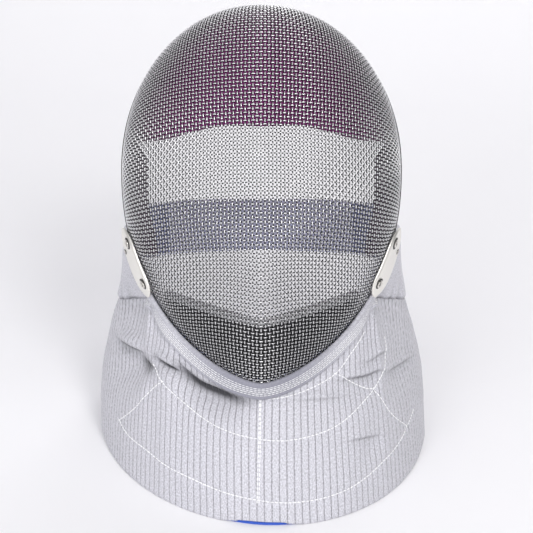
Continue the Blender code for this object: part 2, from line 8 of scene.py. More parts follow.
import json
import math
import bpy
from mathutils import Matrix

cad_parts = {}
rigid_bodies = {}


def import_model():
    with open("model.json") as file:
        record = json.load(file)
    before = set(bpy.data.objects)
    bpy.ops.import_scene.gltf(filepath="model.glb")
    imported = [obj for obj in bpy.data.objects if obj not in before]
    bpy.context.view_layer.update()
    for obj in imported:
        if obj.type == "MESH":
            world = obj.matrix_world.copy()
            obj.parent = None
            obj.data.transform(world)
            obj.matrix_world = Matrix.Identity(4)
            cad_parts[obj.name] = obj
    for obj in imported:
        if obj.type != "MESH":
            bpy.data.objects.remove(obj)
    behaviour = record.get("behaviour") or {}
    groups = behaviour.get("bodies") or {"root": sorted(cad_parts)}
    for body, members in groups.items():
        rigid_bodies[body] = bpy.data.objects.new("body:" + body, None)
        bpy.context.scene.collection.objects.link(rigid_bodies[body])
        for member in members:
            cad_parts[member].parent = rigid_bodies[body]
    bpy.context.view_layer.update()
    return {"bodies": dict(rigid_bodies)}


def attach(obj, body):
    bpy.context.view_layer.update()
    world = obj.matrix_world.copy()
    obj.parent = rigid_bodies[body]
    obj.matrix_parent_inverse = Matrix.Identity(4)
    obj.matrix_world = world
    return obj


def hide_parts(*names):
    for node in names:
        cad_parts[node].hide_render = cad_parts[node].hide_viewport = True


bl_info = {
    "name": "Fencing mask looks",
    "version": (1, 0, 0),
    "blender": (4, 5, 0),
    "location": "3D View > Sidebar > Mask",
    "description": "Dresses the frame of a fencing mask in woven wire, cloth and padding",
    "category": "Add Mesh",
}

import bmesh
import bpy
import numpy as np
from bpy.props import FloatProperty, FloatVectorProperty, IntProperty, PointerProperty
from mathutils import Matrix, Vector, noise

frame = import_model()

# The same sizes as the part's.
LEAN = math.radians(17)
FRAME_LIFT = 0.0604
ROOT_Y = -0.021705
RIM_WIRE = 0.0034
RIM_HALF_WIDTH = 0.0995
RIM_WAIST = 0.150
RIM_TOP = 0.264
RIM_CHIN = 0.008
RIM_TOP_ROUNDNESS = 2.12
RIM_JAW_SIDE_ROUNDNESS = 1.6
RIM_JAW_TIP_ROUNDNESS = 2.2
CHIN_FORWARD = 0.058
CHIN_SWEEP = 2.7
MESH_WALL = 0.0020
NOSE_HEIGHT = 0.110
NOSE_DEPTH = 0.109
DOME_BELLY = 0.018
DOME_TOP_ROUNDNESS = 1.82
DOME_SIDE_ROUNDNESS = 1.75
DOME_JAW_ROUNDNESS = 1.45
CREASE_DEPTH = 0.007
CREASE_REACH = 0.028
CREASE_ROUNDING = 0.003
REAR_END = math.radians(108)
REAR_DEPTH_TOP = 0.075
REAR_DEPTH_SIDE = 0.045
REAR_DROP = 0.029
REAR_PULL = 0.004
EDGING = 0.0040
PLATE_FROM = math.radians(103.5)
PLATE_TO = math.radians(124.5)
PLATE_WIDTH = 0.025
PLATE_WALL = 0.0012
PLATE_LIP = 0.0012
PLATE_FOLD = 0.0008
PLATE_LEAD = 0.006
PLATE_STAND = 0.0017
PLATE_TURN_LEFT = (math.radians(19), math.radians(24))
PLATE_TURN_RIGHT = (math.radians(18), math.radians(28))
PLATE_CORNERS = 4.0
PLATE_END_CUT = 0.78
FLAP_WALL = 0.0020
FLAP_FROM = math.radians(105)
FLAP_TO = math.radians(126.5)
FLAP_SET_BACK = 0.0065
FLAP_OVERHANG = 0.006
FLAP_REAR_TOP_X = 0.103
FLAP_REAR_FOOT_X = 0.109
FLAP_REAR_BACK = 0.057
FLAP_REAR_HEIGHT = 0.051
FLAP_PULL = 0.020
BIB_WALL = 0.0030
LINING_WALL = 0.0012
SEAM_GAP = 0.0014
HEM_HALF_WIDTH = 0.1245
HEM_CENTRE_BACK = 0.052
HEM_FRONT_REACH = 0.151
HEM_REAR_REACH = 0.045
HEM_SIDEWAYS = 0.010
HEM_SIDEWAYS_POWER = 1.3
HEM_REAR_TUCK = 0.009
HEM_ARC_SHARE = 0.83
HEM_CORNER_SHARE = 0.377
HEM_BAND = 0.003
HEM_LIFT = 0.0016
BIB_BULGE = 0.006
JAW_SHARE = 14 / 26
BIB_LAP = 0.0020
BIB_LAP_SHARE = 0.75
TRIM_WALL = 0.0030
TRIM_ABOVE = 0.0050
TRIM_BELOW = 0.0048
GAP = 0.0003
PAD_CLEARANCE = 0.0012
CROWN_PAD_THICKNESS = 0.013
CROWN_PAD_EDGE = 0.1925
CROWN_PAD_ARCH = 0.0155
CROWN_PAD_ARCH_POWER = 4.2
CROWN_PAD_END = math.radians(75)
CHEEK_PAD_THICKNESS = 0.010
CHEEK_PAD_FROM = math.radians(79)
CHEEK_PAD_TO = math.radians(112)
CHEEK_PAD_SHARES = (0.70, 0.95)
CHIN_PAD_THICKNESS = 0.010
CHIN_PAD_EDGE = 0.050
CHIN_PAD_RISE = 0.010
CHIN_PAD_END = math.radians(128)
PAD_RIM_SHARE = 0.93
BINDING = 0.0060
STRAP_WIDTH = 0.040
STRAP_WALL = 0.0020
STRAP_HEIGHT = 0.104
STRAP_FRONT = 0.025
STRAP_REACH = 0.062

# Sizes of what only this scene shows.
RIM_SIDES = 14
BINDING_CLOTH = 0.0006
EDGING_LAP = 0.0012
EDGING_LENGTH = 0.0030
EDGING_THICKNESS = 0.0021
EDGING_WRAP = 0.86
PLATE_BEND_SHARE = 0.22
PLATE_CROWN = 0.0003
FLAP_SWELL = 0.0009
FLAP_PUCKER = 0.0011
FLAP_SEAM_SWELL = 0.0010
FLAP_TURNED_DROP = 0.0016
CREASE_FADE = 0.006
CREASE_SHARPNESS = 0.00032
SEAM_DENT = 0.0006
SEAM_WIDTH = 0.0019
BIB_RIPPLE = 0.0007
HEM_CLEARANCE = 0.0012
LINING_CLEARANCE = 0.0006
THREAD_STAND = 0.0002
TRIM_ROUNDING = 0.55
TRIM_SEAM_DENT = 0.00055
TRIM_SEAM_SHARE = 0.035
BINDING_ROUND = 0.48
BINDING_WRAP = 0.92
STRAP_FLATNESS = 0.42
STRAP_RIDGE = 0.0002
STRAP_END_STAND = 0.0013

# Broad folds of the bib: along, down, reach, slant, width and depth, as in the part.
FOLDS = (
    (-0.62, 0.40, 0.20, -0.14, 0.10, 0.0050),
    (-0.27, 0.20, 0.20, -0.06, 0.11, 0.0050),
    (0.44, 0.34, 0.15, 0.10, 0.10, 0.0030),
    (0.66, 0.42, 0.16, -0.08, 0.12, 0.0030),
    (0.46, 0.72, 0.10, -0.04, 0.09, 0.0014),
)

# Sharp creases: the places (along, down) that each runs through, how deep it drops below its
# line, how far it swells above it, how wide it fades and how broad its painted shade is, in metres.
CREASES = (
    (((-0.775, 0.292), (-0.71, 0.296), (-0.65, 0.297), (-0.595, 0.294)), 0.0054, 0.0042, 0.009, 0.0013),
    (((-0.61, 0.315), (-0.57, 0.325), (-0.53, 0.325), (-0.49, 0.300)), 0.0026, 0.0004, 0.010, 0.0050),
    (((-0.48, 0.219), (-0.44, 0.192), (-0.40, 0.168), (-0.365, 0.152)), 0.0046, 0.0034, 0.006, 0.0012),
    (((-0.385, 0.104), (-0.29, 0.110), (-0.19, 0.078), (-0.06, 0.064)), 0.0066, 0.0006, 0.013, 0.0038),
    (((0.35, 0.180), (0.42, 0.249), (0.484, 0.318), (0.56, 0.378)), 0.0022, 0.0012, 0.006, 0.0009),
    (((0.58, 0.398), (0.69, 0.4155), (0.78, 0.425)), 0.0014, 0.0012, 0.006, 0.0009),
    (((0.455, 0.215), (0.525, 0.276), (0.61, 0.287)), 0.0012, 0.0010, 0.005, 0.0009),
    (((0.36, 0.570), (0.417, 0.604), (0.53, 0.685)), 0.0013, 0.0010, 0.005, 0.0009),
    (((0.14, 0.100), (0.26, 0.205), (0.38, 0.312)), 0.0008, 0.0006, 0.004, 0.0009),
)

# Sewn lines of the bib, as places (along, down).
SEAMS = (
    ((-0.0100, 0.030), (-0.0085, 0.35), (-0.0120, 0.62), (-0.0163, 0.85)),
    ((-0.0010, 0.030), (0.0005, 0.35), (-0.0030, 0.62), (-0.0073, 0.85)),
    (
        (-0.4986, 0.2974), (-0.4413, 0.3163), (-0.3204, 0.332), (-0.1993, 0.350), (-0.0131, 0.3607),
        (0.1403, 0.4047), (0.3000, 0.4383), (0.4291, 0.4244), (0.5072, 0.423), (0.5587, 0.3852),
        (0.5915, 0.3092), (0.6141, 0.2223),
    ),
    (
        (-0.6738, 0.7606), (-0.6060, 0.7923), (-0.4593, 0.7946), (-0.3019, 0.7927), (-0.1518, 0.8116),
        (-0.0118, 0.8341), (0.1291, 0.8600), (0.2685, 0.8700), (0.4208, 0.8553), (0.5636, 0.8174),
        (0.6513, 0.7561), (0.7002, 0.7163),
    ),
    ((-0.4413, 0.3163), (-0.5385, 0.5238), (-0.6738, 0.7606)),
    ((0.3339, 0.1245), (0.4620, 0.3671), (0.5072, 0.423)),
    ((0.5072, 0.445), (0.5766, 0.6189), (0.6513, 0.7561)),
    ((0.0483, 0.0600), (0.2096, 0.1000), (0.3344, 0.1245), (0.4062, 0.0950), (0.4738, 0.0800)),
)
TRIM_SEAMS = (0.10, 0.25, 0.40, 0.55, 0.70)
TRIM_TUCK = 1.045

EYELET_STAND = 0.0004

# Each plate's eyelets: along it, across it in widths of the plate, and their size.
EYELETS = ((0.20, -0.18, 1.0), (0.80, -0.20, 1.0), (0.32, 0.36, 0.45))

# How the face's wires lie on the dome when it is laid flat about its nose. The number of a wire at
# x and y, in units of LAY_REACH, is the sum of share * x**m * y**n over (m, n): share.
LAY_REACH = 0.13
LAY_PITCH = 0.00265
CRIMP_SHARE = 0.22
FACE_WIRE_END = 0.997
UPRIGHT_LAY = {
    (1, 0): 46.94, (1, 1): 9.69, (1, 2): -5.05, (1, 3): -11.11, (1, 4): 6.50,
    (3, 0): -11.58, (3, 1): 6.01, (3, 2): 8.42, (3, 3): -3.24,
    (5, 0): 7.79, (5, 1): -6.26, (7, 0): -1.36,
}
CROSS_LAY = {
    (0, 1): -42.71, (0, 2): -7.49, (0, 3): 0.99, (0, 4): 5.82, (0, 5): -2.60,
    (2, 0): -9.38, (2, 1): 20.81, (2, 2): -5.36, (2, 3): -9.24, (2, 4): 3.65,
    (4, 0): 4.09, (4, 1): -13.15, (4, 2): 9.70, (6, 0): -0.33,
}

PHOTO_ELEVATION = math.radians(25)
PHOTO_TARGET = Vector((0.0036, ROOT_Y + 0.0018, 0.150))
PHOTO_DISTANCE = 1.0
PHOTO_LENS = 1408 / 533 * 36

UP = np.array([0, 0, 1.0])
FORWARD = Vector((0, -1, 0))
DOWN = Vector((0, 0, -1))
FRAME = Matrix.Translation((0, ROOT_Y, FRAME_LIFT)) @ Matrix.Rotation(-LEAN, 4, "X")


def blend(first, second, share):
    return first + (second - first) * share


def smooth_step(share):
    share = min(max(share, 0.0), 1.0)
    return share * share * (3 - 2 * share)


def signed_power(value, power):
    return math.copysign(abs(value) ** power, value)


def rim_point(angle):
    """Point of the rim's centre line, in the mask's frame."""
    if math.cos(angle) >= 0:
        side_power = tip_power = 2 / RIM_TOP_ROUNDNESS
        rise = RIM_TOP - RIM_WAIST
    else:
        side_power = 2 / RIM_JAW_SIDE_ROUNDNESS
        tip_power = 2 / RIM_JAW_TIP_ROUNDNESS
        rise = RIM_WAIST - RIM_CHIN
    x = RIM_HALF_WIDTH * signed_power(math.sin(angle), side_power)
    height = RIM_WAIST + rise * signed_power(math.cos(angle), tip_power)
    fall = max(0.0, (RIM_WAIST - height) / (RIM_WAIST - RIM_CHIN))
    return Vector((x, -CHIN_FORWARD * fall**CHIN_SWEEP, height))


def rim_outward(angle):
    step = math.radians(0.5)
    return FORWARD.cross(rim_point(angle + step) - rim_point(angle - step)).normalized()


def dome_surface(angle, share):
    """Point of the dome's middle surface: share 0 is the nose, and share 1 lies on the rim."""
    rim = rim_point(angle)
    up = max(0.0, math.cos(angle))
    jaw = max(0.0, -math.cos(angle))
    belly = DOME_BELLY * up * up
    depth_power = 2 / (DOME_SIDE_ROUNDNESS + (DOME_TOP_ROUNDNESS - DOME_SIDE_ROUNDNESS) * up)
    radial_power = blend(depth_power, 2 / DOME_JAW_ROUNDNESS, jaw)
    depth_power = blend(depth_power, 2.0, jaw)
    base = belly - rim.y
    depth = NOSE_DEPTH - base
    last = math.pi / 2 + math.asin((belly / depth) ** (1 / depth_power))
    turn = share * last
    radial = (math.sin(turn) / math.sin(last)) ** radial_power
    x = rim.x * radial
    height = blend(NOSE_HEIGHT, rim.z, radial)
    forward = base + depth * signed_power(math.cos(turn), depth_power)
    crease = CREASE_DEPTH * math.exp(-math.hypot(x, CREASE_ROUNDING) / CREASE_REACH)
    return Vector((x, -forward - crease * max(0.0, math.cos(turn)), height))


def dome_layer(angle, share, depth):
    """Point this deep inside the dome's inner face, and the direction inwards."""
    step = 0.01
    middle = dome_surface(angle, share)
    along = dome_surface(angle, share - step) - dome_surface(angle, share + step)
    around = dome_surface(angle + step, share) - dome_surface(angle - step, share)
    inward = around.cross(along).normalized()
    if inward.dot(Vector((0, 0, RIM_WAIST)) - middle) < 0:
        inward.negate()
    return middle + inward * (MESH_WALL / 2 + depth), inward


def halve(near, far, keep_near):
    """Finds by halving where keep_near turns false, between two numbers."""
    for _ in range(24):
        middle = (near + far) / 2
        if keep_near(middle):
            near = middle
        else:
            far = middle
    return near


def share_clear_of_rim(angle, clearance):
    rim = rim_point(angle)
    return halve(0.5, 1.0, lambda share: (dome_surface(angle, share) - rim).length > clearance)


def share_at_height(angle, height):
    rising = rim_point(angle).z > NOSE_HEIGHT
    return halve(0.0, 1.0, lambda share: (dome_surface(angle, share).z < height) == rising)


def rear_depth(angle):
    up = smooth_step(max(0.0, math.cos(angle)))
    return blend(REAR_DEPTH_SIDE, REAR_DEPTH_TOP, up)


def rear_surface(angle, share):
    """Point of the rear mesh's middle surface: share 0 lies on the rim."""
    rim = rim_point(angle)
    up = smooth_step(max(0.0, math.cos(angle)))
    inward = REAR_PULL * share * share * math.sin(angle)
    drop = REAR_DROP * up * (0.35 * share + 0.65 * share * share)
    return Vector((rim.x - inward, rim.y + rear_depth(angle) * share, rim.z - drop))


def flap_offset():
    return MESH_WALL / 2 + GAP + FLAP_WALL / 2


def flap_point(side, back, down):
    """Point of an ear flap's middle surface, in the mask's frame."""
    angle = side * blend(FLAP_FROM, FLAP_TO, down)
    front = rim_point(angle) + rim_outward(angle) * flap_offset() - FORWARD * FLAP_SET_BACK
    mesh_end = rear_surface(side * REAR_END, 1)
    rear_top = Vector((side * FLAP_REAR_TOP_X, mesh_end.y + FLAP_OVERHANG, mesh_end.z + FLAP_OVERHANG))
    rear_foot = Vector((side * FLAP_REAR_FOOT_X, FLAP_REAR_BACK, FLAP_REAR_HEIGHT))
    rear = rear_top.lerp(rear_foot, down)
    held = front - FORWARD * FLAP_PULL
    freed = rear + FORWARD * FLAP_PULL
    rest = 1 - back
    return front * rest**3 + held * 3 * rest**2 * back + freed * 3 * rest * back**2 + rear * back**3


def bib_top(along):
    """Point of the bib's top edge, in the mask's frame."""
    if abs(along) <= JAW_SHARE:
        angle = math.pi - (math.pi - FLAP_TO) * along / JAW_SHARE
        corner = smooth_step((abs(along) / JAW_SHARE - BIB_LAP_SHARE) / (1 - BIB_LAP_SHARE))
        below = blend(RIM_WIRE / 2 + GAP + BIB_WALL / 2, flap_offset(), corner) + SEAM_GAP
        lap = blend(BIB_LAP, -FLAP_SET_BACK, corner)
        return rim_point(angle) + rim_outward(angle) * below + FORWARD * lap
    side = math.copysign(1, along)
    back = (abs(along) - JAW_SHARE) / (1 - JAW_SHARE)
    corner = bib_top(side * JAW_SHARE) - flap_point(side, 0, 1)
    return flap_point(side, back, 1) + corner.lerp(DOWN * SEAM_GAP, smooth_step(back * 4))


def hem_curve(share):
    if abs(share) <= HEM_ARC_SHARE:
        turn = math.pi / 2 * share / HEM_ARC_SHARE
        turn -= HEM_SIDEWAYS / HEM_HALF_WIDTH * math.cos(turn) ** 2
        front = max(0.0, math.cos(turn))
        x = HEM_HALF_WIDTH * math.sin(turn) + HEM_SIDEWAYS * front**HEM_SIDEWAYS_POWER
        return Vector((x, HEM_CENTRE_BACK - HEM_FRONT_REACH * front + ROOT_Y, 0))
    back = (abs(share) - HEM_ARC_SHARE) / (1 - HEM_ARC_SHARE)
    x = math.copysign(HEM_HALF_WIDTH - HEM_REAR_TUCK * back**2, share)
    return Vector((x, HEM_CENTRE_BACK + HEM_REAR_REACH * back + ROOT_Y, 0))


def hem_point(along):
    beside = max(0.0, (abs(along) - JAW_SHARE) / (1 - JAW_SHARE))
    share = blend(HEM_CORNER_SHARE, 1, beside) if beside else HEM_CORNER_SHARE * abs(along) / JAW_SHARE
    share = math.copysign(share, along)
    step = 0.005
    run = hem_curve(share + step) - hem_curve(share - step)
    return hem_curve(share), Vector((run.y, -run.x, 0)).normalized()


def bib_column(along):
    """Top and foot of one line of the bib's cloth, and the direction out of it."""
    top = FRAME @ bib_top(along)
    foot, outward = hem_point(along)
    foot.z = HEM_BAND
    fall = (foot - top).normalized()
    return top, foot, (outward - fall * outward.dot(fall)).normalized()


def bib_point(along, down, column=None):
    """Point of the bib's middle surface, from its top edge down to the hem's upright band."""
    top, foot, normal = column or bib_column(along)
    swell = BIB_BULGE * 4 * down * (1 - down)
    for centre, line, reach, slant, width, depth in FOLDS:
        distance = (along - centre) / reach
        if abs(distance) < 1:
            drop = (down - line - slant * distance) / width
            swell -= depth * (1 - distance**2) ** 2 * math.exp(-(drop**2))
    return top.lerp(foot, down) + normal * swell


def smooth_path(places, steps):
    """Places along a smooth curve through the given ones."""
    points = [Vector((*place, 0)) for place in places]
    points = [points[0] * 2 - points[1], *points, points[-1] * 2 - points[-2]]
    path = []
    for a, b, c, d in zip(points, points[1:], points[2:], points[3:]):
        for step in range(steps):
            t = step / steps
            square, cube = a * 2 - b * 5 + c * 4 - d, b * 3 - a - c * 3 + d
            path.append((b * 2 + (c - a) * t + square * t**2 + cube * t**3) / 2)
    return path + [points[-2]]


# Meshes


def link(piece):
    bpy.context.scene.collection.objects.link(piece)
    return piece


BODY = next(iter(frame["bodies"]))


def place_piece(piece, slot, *nodes):
    """The piece rides on the only body and stands for its solids."""
    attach(piece, BODY)
    if nodes:
        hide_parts(*nodes)
    return piece


def grid_points(columns, rows, place):
    """Array of points over a grid, from place(u, v) with u and v from 0 to 1."""
    return np.array([[place(i / columns, j / rows) for j in range(rows + 1)] for i in range(columns + 1)])


def grid_normals(points):
    across = np.gradient(points, axis=0)
    down = np.gradient(points, axis=1)
    normals = np.cross(down, across)
    return normals / np.maximum(np.linalg.norm(normals, axis=2, keepdims=True), 1e-12)


def shell_mesh(name, outer, inner, sheet_u=None, sheet_v=None, tint=None):
    """Closed cloth between two grids of points, with rounded edges and a map of the flat cloth."""
    columns, rows = outer.shape[:2]
    if sheet_u is None:
        sheet_u = np.zeros((columns, rows))
        sheet_u[1:] = np.cumsum(np.linalg.norm(np.diff(outer, axis=0), axis=2), axis=0)
        sheet_u -= sheet_u[columns // 2]
    if sheet_v is None:
        sheet_v = np.zeros((columns, rows))
        sheet_v[:, 1:] = np.cumsum(np.linalg.norm(np.diff(outer, axis=1), axis=2), axis=1)
    index = np.arange(columns * rows).reshape(columns, rows)
    count = columns * rows
    squares = [index[:-1, :-1], index[1:, :-1], index[1:, 1:], index[:-1, 1:]]
    quads = np.stack(squares, axis=-1).reshape(-1, 4)
    loop = [*index[:, 0], *index[-1, 1:], *index[-2::-1, -1], *index[0, -2:0:-1]]
    inward = [*index[:, 1], *index[-2, 1:], *index[-2::-1, -2], *index[1, -2:0:-1]]
    flat_outer, flat_inner = outer.reshape(-1, 3), inner.reshape(-1, 3)
    middle = (flat_outer + flat_inner) / 2
    edge = middle[loop] - middle[inward]
    edge /= np.maximum(np.linalg.norm(edge, axis=1, keepdims=True), 1e-9)
    half = np.linalg.norm(flat_outer[loop] - flat_inner[loop], axis=1, keepdims=True) / 2
    rounded = []
    for turn in (-0.75, 0.0, 0.75):
        lean = (flat_outer[loop] - flat_inner[loop]) / 2 * math.sin(turn)
        rounded.append(middle[loop] + lean + edge * half * math.cos(turn) * 0.9)
    rounded = rounded[::-1]
    points = np.concatenate([flat_outer, flat_inner, *rounded])
    faces = [tuple(q) for q in quads] + [tuple(q[::-1] + count) for q in quads]
    ring = len(loop)
    chains = [list(loop)]
    chains += [[2 * count + k * ring + n for n in range(ring)] for k in range(3)]
    chains += [[n + count for n in loop]]
    for first, second in zip(chains, chains[1:]):
        for n in range(ring):
            m = (n + 1) % ring
            faces.append((first[m], first[n], second[n], second[m]))
    mesh = bpy.data.meshes.new(name)
    mesh.from_pydata([tuple(p) for p in points], [], faces)
    flat_u, flat_v = sheet_u.reshape(-1), sheet_v.reshape(-1)
    u = np.concatenate([flat_u, flat_u, *[flat_u[loop]] * 3])
    v = np.concatenate([flat_v, flat_v, *[flat_v[loop]] * 3])
    corners = np.zeros(len(mesh.loops), int)
    mesh.loops.foreach_get("vertex_index", corners)
    layer = mesh.uv_layers.new(name="Cloth")
    layer.data.foreach_set("uv", np.stack([u[corners], v[corners]], axis=1).ravel())
    # The tint is painted shade, kept as the cloth's crease attribute and darkening its colour.
    if tint is not None:
        flat = tint.reshape(-1)
        values = np.concatenate([flat, flat, *[flat[loop]] * 3])
        mesh.attributes.new("crease", "FLOAT", "POINT").data.foreach_set("value", values)
    mesh.shade_smooth()
    shape = bmesh.new()
    shape.from_mesh(mesh)
    bmesh.ops.recalc_face_normals(shape, faces=shape.faces)
    shape.to_mesh(mesh)
    shape.free()
    return mesh


def cloth_piece(name, outer, inner, material, **maps):
    mesh = shell_mesh(name, outer, inner, **maps)
    mesh.materials.append(material)
    return link(bpy.data.objects.new(name, mesh))


def sheet_area(outer):
    across = np.diff(outer, axis=0)[:, :-1]
    down = np.diff(outer, axis=1)[:-1]
    return float(np.linalg.norm(np.cross(across, down), axis=2).sum())


def declare_sheet(outer):
    """Measures the width along the cloth's middle lines and the cloth's area; nothing further is done with
    them.
    """
    width = float(np.linalg.norm(np.diff(outer, axis=0), axis=2).sum(axis=0).max())
    area = sheet_area(outer)


# Node trees


class Socket:
    """A node's output that Python's operators turn into Math nodes."""

    def __init__(self, graph, socket):
        self.graph = graph
        self.socket = socket

    def math(self, operation, *others):
        node = self.graph.tree.nodes.new("ShaderNodeMath")
        node.operation = operation
        for place, value in zip(node.inputs, (self, *others)):
            self.graph.put(place, value)
        return Socket(self.graph, node.outputs[0])

    def __add__(self, other):
        return self.math("ADD", other)

    def __radd__(self, other):
        return self.math("ADD", other)

    def __mul__(self, other):
        return self.math("MULTIPLY", other)

    def __rmul__(self, other):
        return self.math("MULTIPLY", other)

    def __sub__(self, other):
        return self.math("SUBTRACT", other)

    def __rsub__(self, other):
        return (self * -1.0) + other

    def __truediv__(self, other):
        return self.math("DIVIDE", other)

    def __pow__(self, other):
        return self.math("POWER", other)

    def __abs__(self):
        return self.math("ABSOLUTE")


class Graph:
    """Adds nodes to a tree. One method takes a node's type, its settings and its inputs."""

    def __init__(self, tree):
        self.tree = tree

    def put(self, place, value):
        if isinstance(value, Socket):
            self.tree.links.new(value.socket, place)
        else:
            place.default_value = value

    def add(self, kind, settings=None, output=0, **inputs):
        node = self.tree.nodes.new(kind)
        for key, value in (settings or {}).items():
            if key == "stops":
                ramp = node.color_ramp.elements
                ramp[0].position, ramp[0].color = value[0]
                ramp[1].position, ramp[1].color = value[-1]
                for position, colour in value[1:-1]:
                    ramp.new(position).color = colour
            else:
                setattr(node, key, value)
        for key, value in inputs.items():
            number = int(key[1:]) if key[0] == "i" and key[1:].isdigit() else None
            place = node.inputs[key.replace("_", " ") if number is None else number]
            self.put(place, value)
        return Socket(self, node.outputs[output])

    def mix(self, share, first, second, blend_type="MIX"):
        node = self.tree.nodes.new("ShaderNodeMix")
        node.data_type = "RGBA"
        node.blend_type = blend_type
        for place, value in ((0, share), (6, first), (7, second)):
            self.put(node.inputs[place], value)
        return Socket(self, node.outputs[2])

    def split(self, vector):
        """The x, y and z of a vector."""
        parts = self.tree.nodes.new("ShaderNodeSeparateXYZ")
        self.put(parts.inputs[0], vector)
        return [Socket(self, part) for part in parts.outputs]

    def pulse(self, distance, near, far):
        """1 nearer than near, 0 farther than far, and smooth between."""
        return self.add(
            "ShaderNodeMapRange",
            {"interpolation_type": "SMOOTHSTEP"},
            Value=distance,
            From_Min=near,
            From_Max=far,
            To_Min=1.0,
            To_Max=0.0,
        )

    def grain(self, place, scale, detail=2.0, stretch=None):
        if stretch:
            place = self.add("ShaderNodeVectorMath", {"operation": "MULTIPLY"}, i0=place, i1=stretch)
        return self.add("ShaderNodeTexNoise", Vector=place, Scale=scale, Detail=detail)


def colour(r, g, b):
    return (r, g, b, 1.0)


def new_material(name, look):
    """Material whose look(graph, shader inputs) links what changes over the surface."""
    material = bpy.data.materials.get(name)
    if material:
        return material
    material = bpy.data.materials.new(name)
    material.use_nodes = True
    graph = Graph(material.node_tree)
    shader = material.node_tree.nodes["Principled BSDF"]
    look(graph, shader)
    return material


def set_inputs(graph, shader, **inputs):
    for key, value in inputs.items():
        graph.put(shader.inputs[key.replace("_", " ")], value)


def bump(graph, height, distance, strength=1.0):
    return graph.add("ShaderNodeBump", Height=height, Distance=distance, Strength=strength)


def steel_look(graph, shader):
    """Drawn steel wire, with a painted highlight where it lies over another and painted shade where it dips
    under.
    """
    place = graph.add("ShaderNodeTexCoord", output=3)
    specks = graph.grain(place, 420.0, 3.0)
    streaks = graph.grain(place, 60.0)
    crown = graph.add("ShaderNodeAttribute", {"attribute_name": "crown"}, output=2)
    # Painted light: near white where the wire lies over (painted highlight), near black where it dips under
    # (painted shade).
    rubbing_and_painted_highlight = graph.pulse(crown, 1.0, 0.58)
    shaded, bright = colour(*looks().wire_painted_shade), colour(*looks().wire_painted_highlight)
    tone = graph.mix(rubbing_and_painted_highlight * 0.85 + specks * 0.15, shaded, bright)
    set_inputs(
        graph,
        shader,
        Base_Color=tone,
        Metallic=1.0,
        Roughness=streaks * 0.12 + rubbing_and_painted_highlight * 0.16 + 0.16,
        Normal=bump(graph, specks, 0.00006),
    )


def rim_look(graph, shader):
    """Round steel bar: a painted highlight along its front and a painted dark reflection on its flanks."""
    place = graph.add("ShaderNodeTexCoord", output=3)
    specks = graph.grain(place, 260.0, 4.0)
    _, ahead, _ = graph.split(graph.add("ShaderNodeTexCoord", output=1))
    # Painted highlight where the bar's face points forward; the rest stays near black as a painted dark
    # reflection.
    painted_front_highlight = graph.pulse(ahead, -0.86, -0.66)
    tone = graph.mix(specks, colour(0.008, 0.008, 0.009), colour(0.04, 0.04, 0.042))
    tone = graph.mix(painted_front_highlight, tone, colour(0.92, 0.92, 0.94))
    set_inputs(
        graph,
        shader,
        Base_Color=tone,
        Metallic=1.0,
        Roughness=specks * 0.2 + 0.14,
        Normal=bump(graph, specks, 0.0001),
    )


def plate_look(graph, shader):
    """Satin nickel: fine brushing along the plate, rubbed bright at places."""
    place = graph.add("ShaderNodeTexCoord", output=3)
    brushed = graph.grain(place, 900.0, 2.0, (1.0, 1.0, 0.06))
    rubbing_and_painted_highlight = graph.grain(place, 45.0, 3.0)
    tone = graph.mix(rubbing_and_painted_highlight, colour(*looks().plate), colour(0.93, 0.91, 0.86))
    set_inputs(
        graph,
        shader,
        Base_Color=tone,
        Metallic=0.85,
        Roughness=brushed * 0.14 + rubbing_and_painted_highlight * 0.12 + 0.22,
        Normal=bump(graph, brushed, 0.00005),
    )


def eyelet_look(graph, shader):
    place = graph.add("ShaderNodeTexCoord", output=3)
    tarnish = graph.grain(place, 500.0, 3.0)
    tone = graph.mix(tarnish, colour(0.46, 0.42, 0.36), colour(0.90, 0.89, 0.86))
    set_inputs(graph, shader, Base_Color=tone, Metallic=1.0, Roughness=tarnish * 0.2 + 0.10)


# Near black finish: painted shade standing for the dark inside the eyelets' holes.
def recess_shade_look(graph, shader):
    place = graph.add("ShaderNodeTexCoord", output=3)
    dust = graph.grain(place, 700.0, 3.0)
    tone = graph.mix(dust, colour(0.012, 0.012, 0.012), colour(0.05, 0.045, 0.04))
    set_inputs(graph, shader, Base_Color=tone, Roughness=dust * 0.3 + 0.4)


def cloth_place(graph):
    """Place on the flat cloth, in metres: its vector, u and v."""
    place = graph.add("ShaderNodeUVMap", {"uv_map": "Cloth"})
    u, v, _ = graph.split(place)
    return place, u, v


def weave(u, v, pitch):
    """Height of a plain weave of this pitch, from 0 to 1."""
    across = (u * (math.tau / pitch)).math("SINE")
    down = (v * (math.tau / pitch)).math("SINE")
    return across * down * 0.5 + 0.5


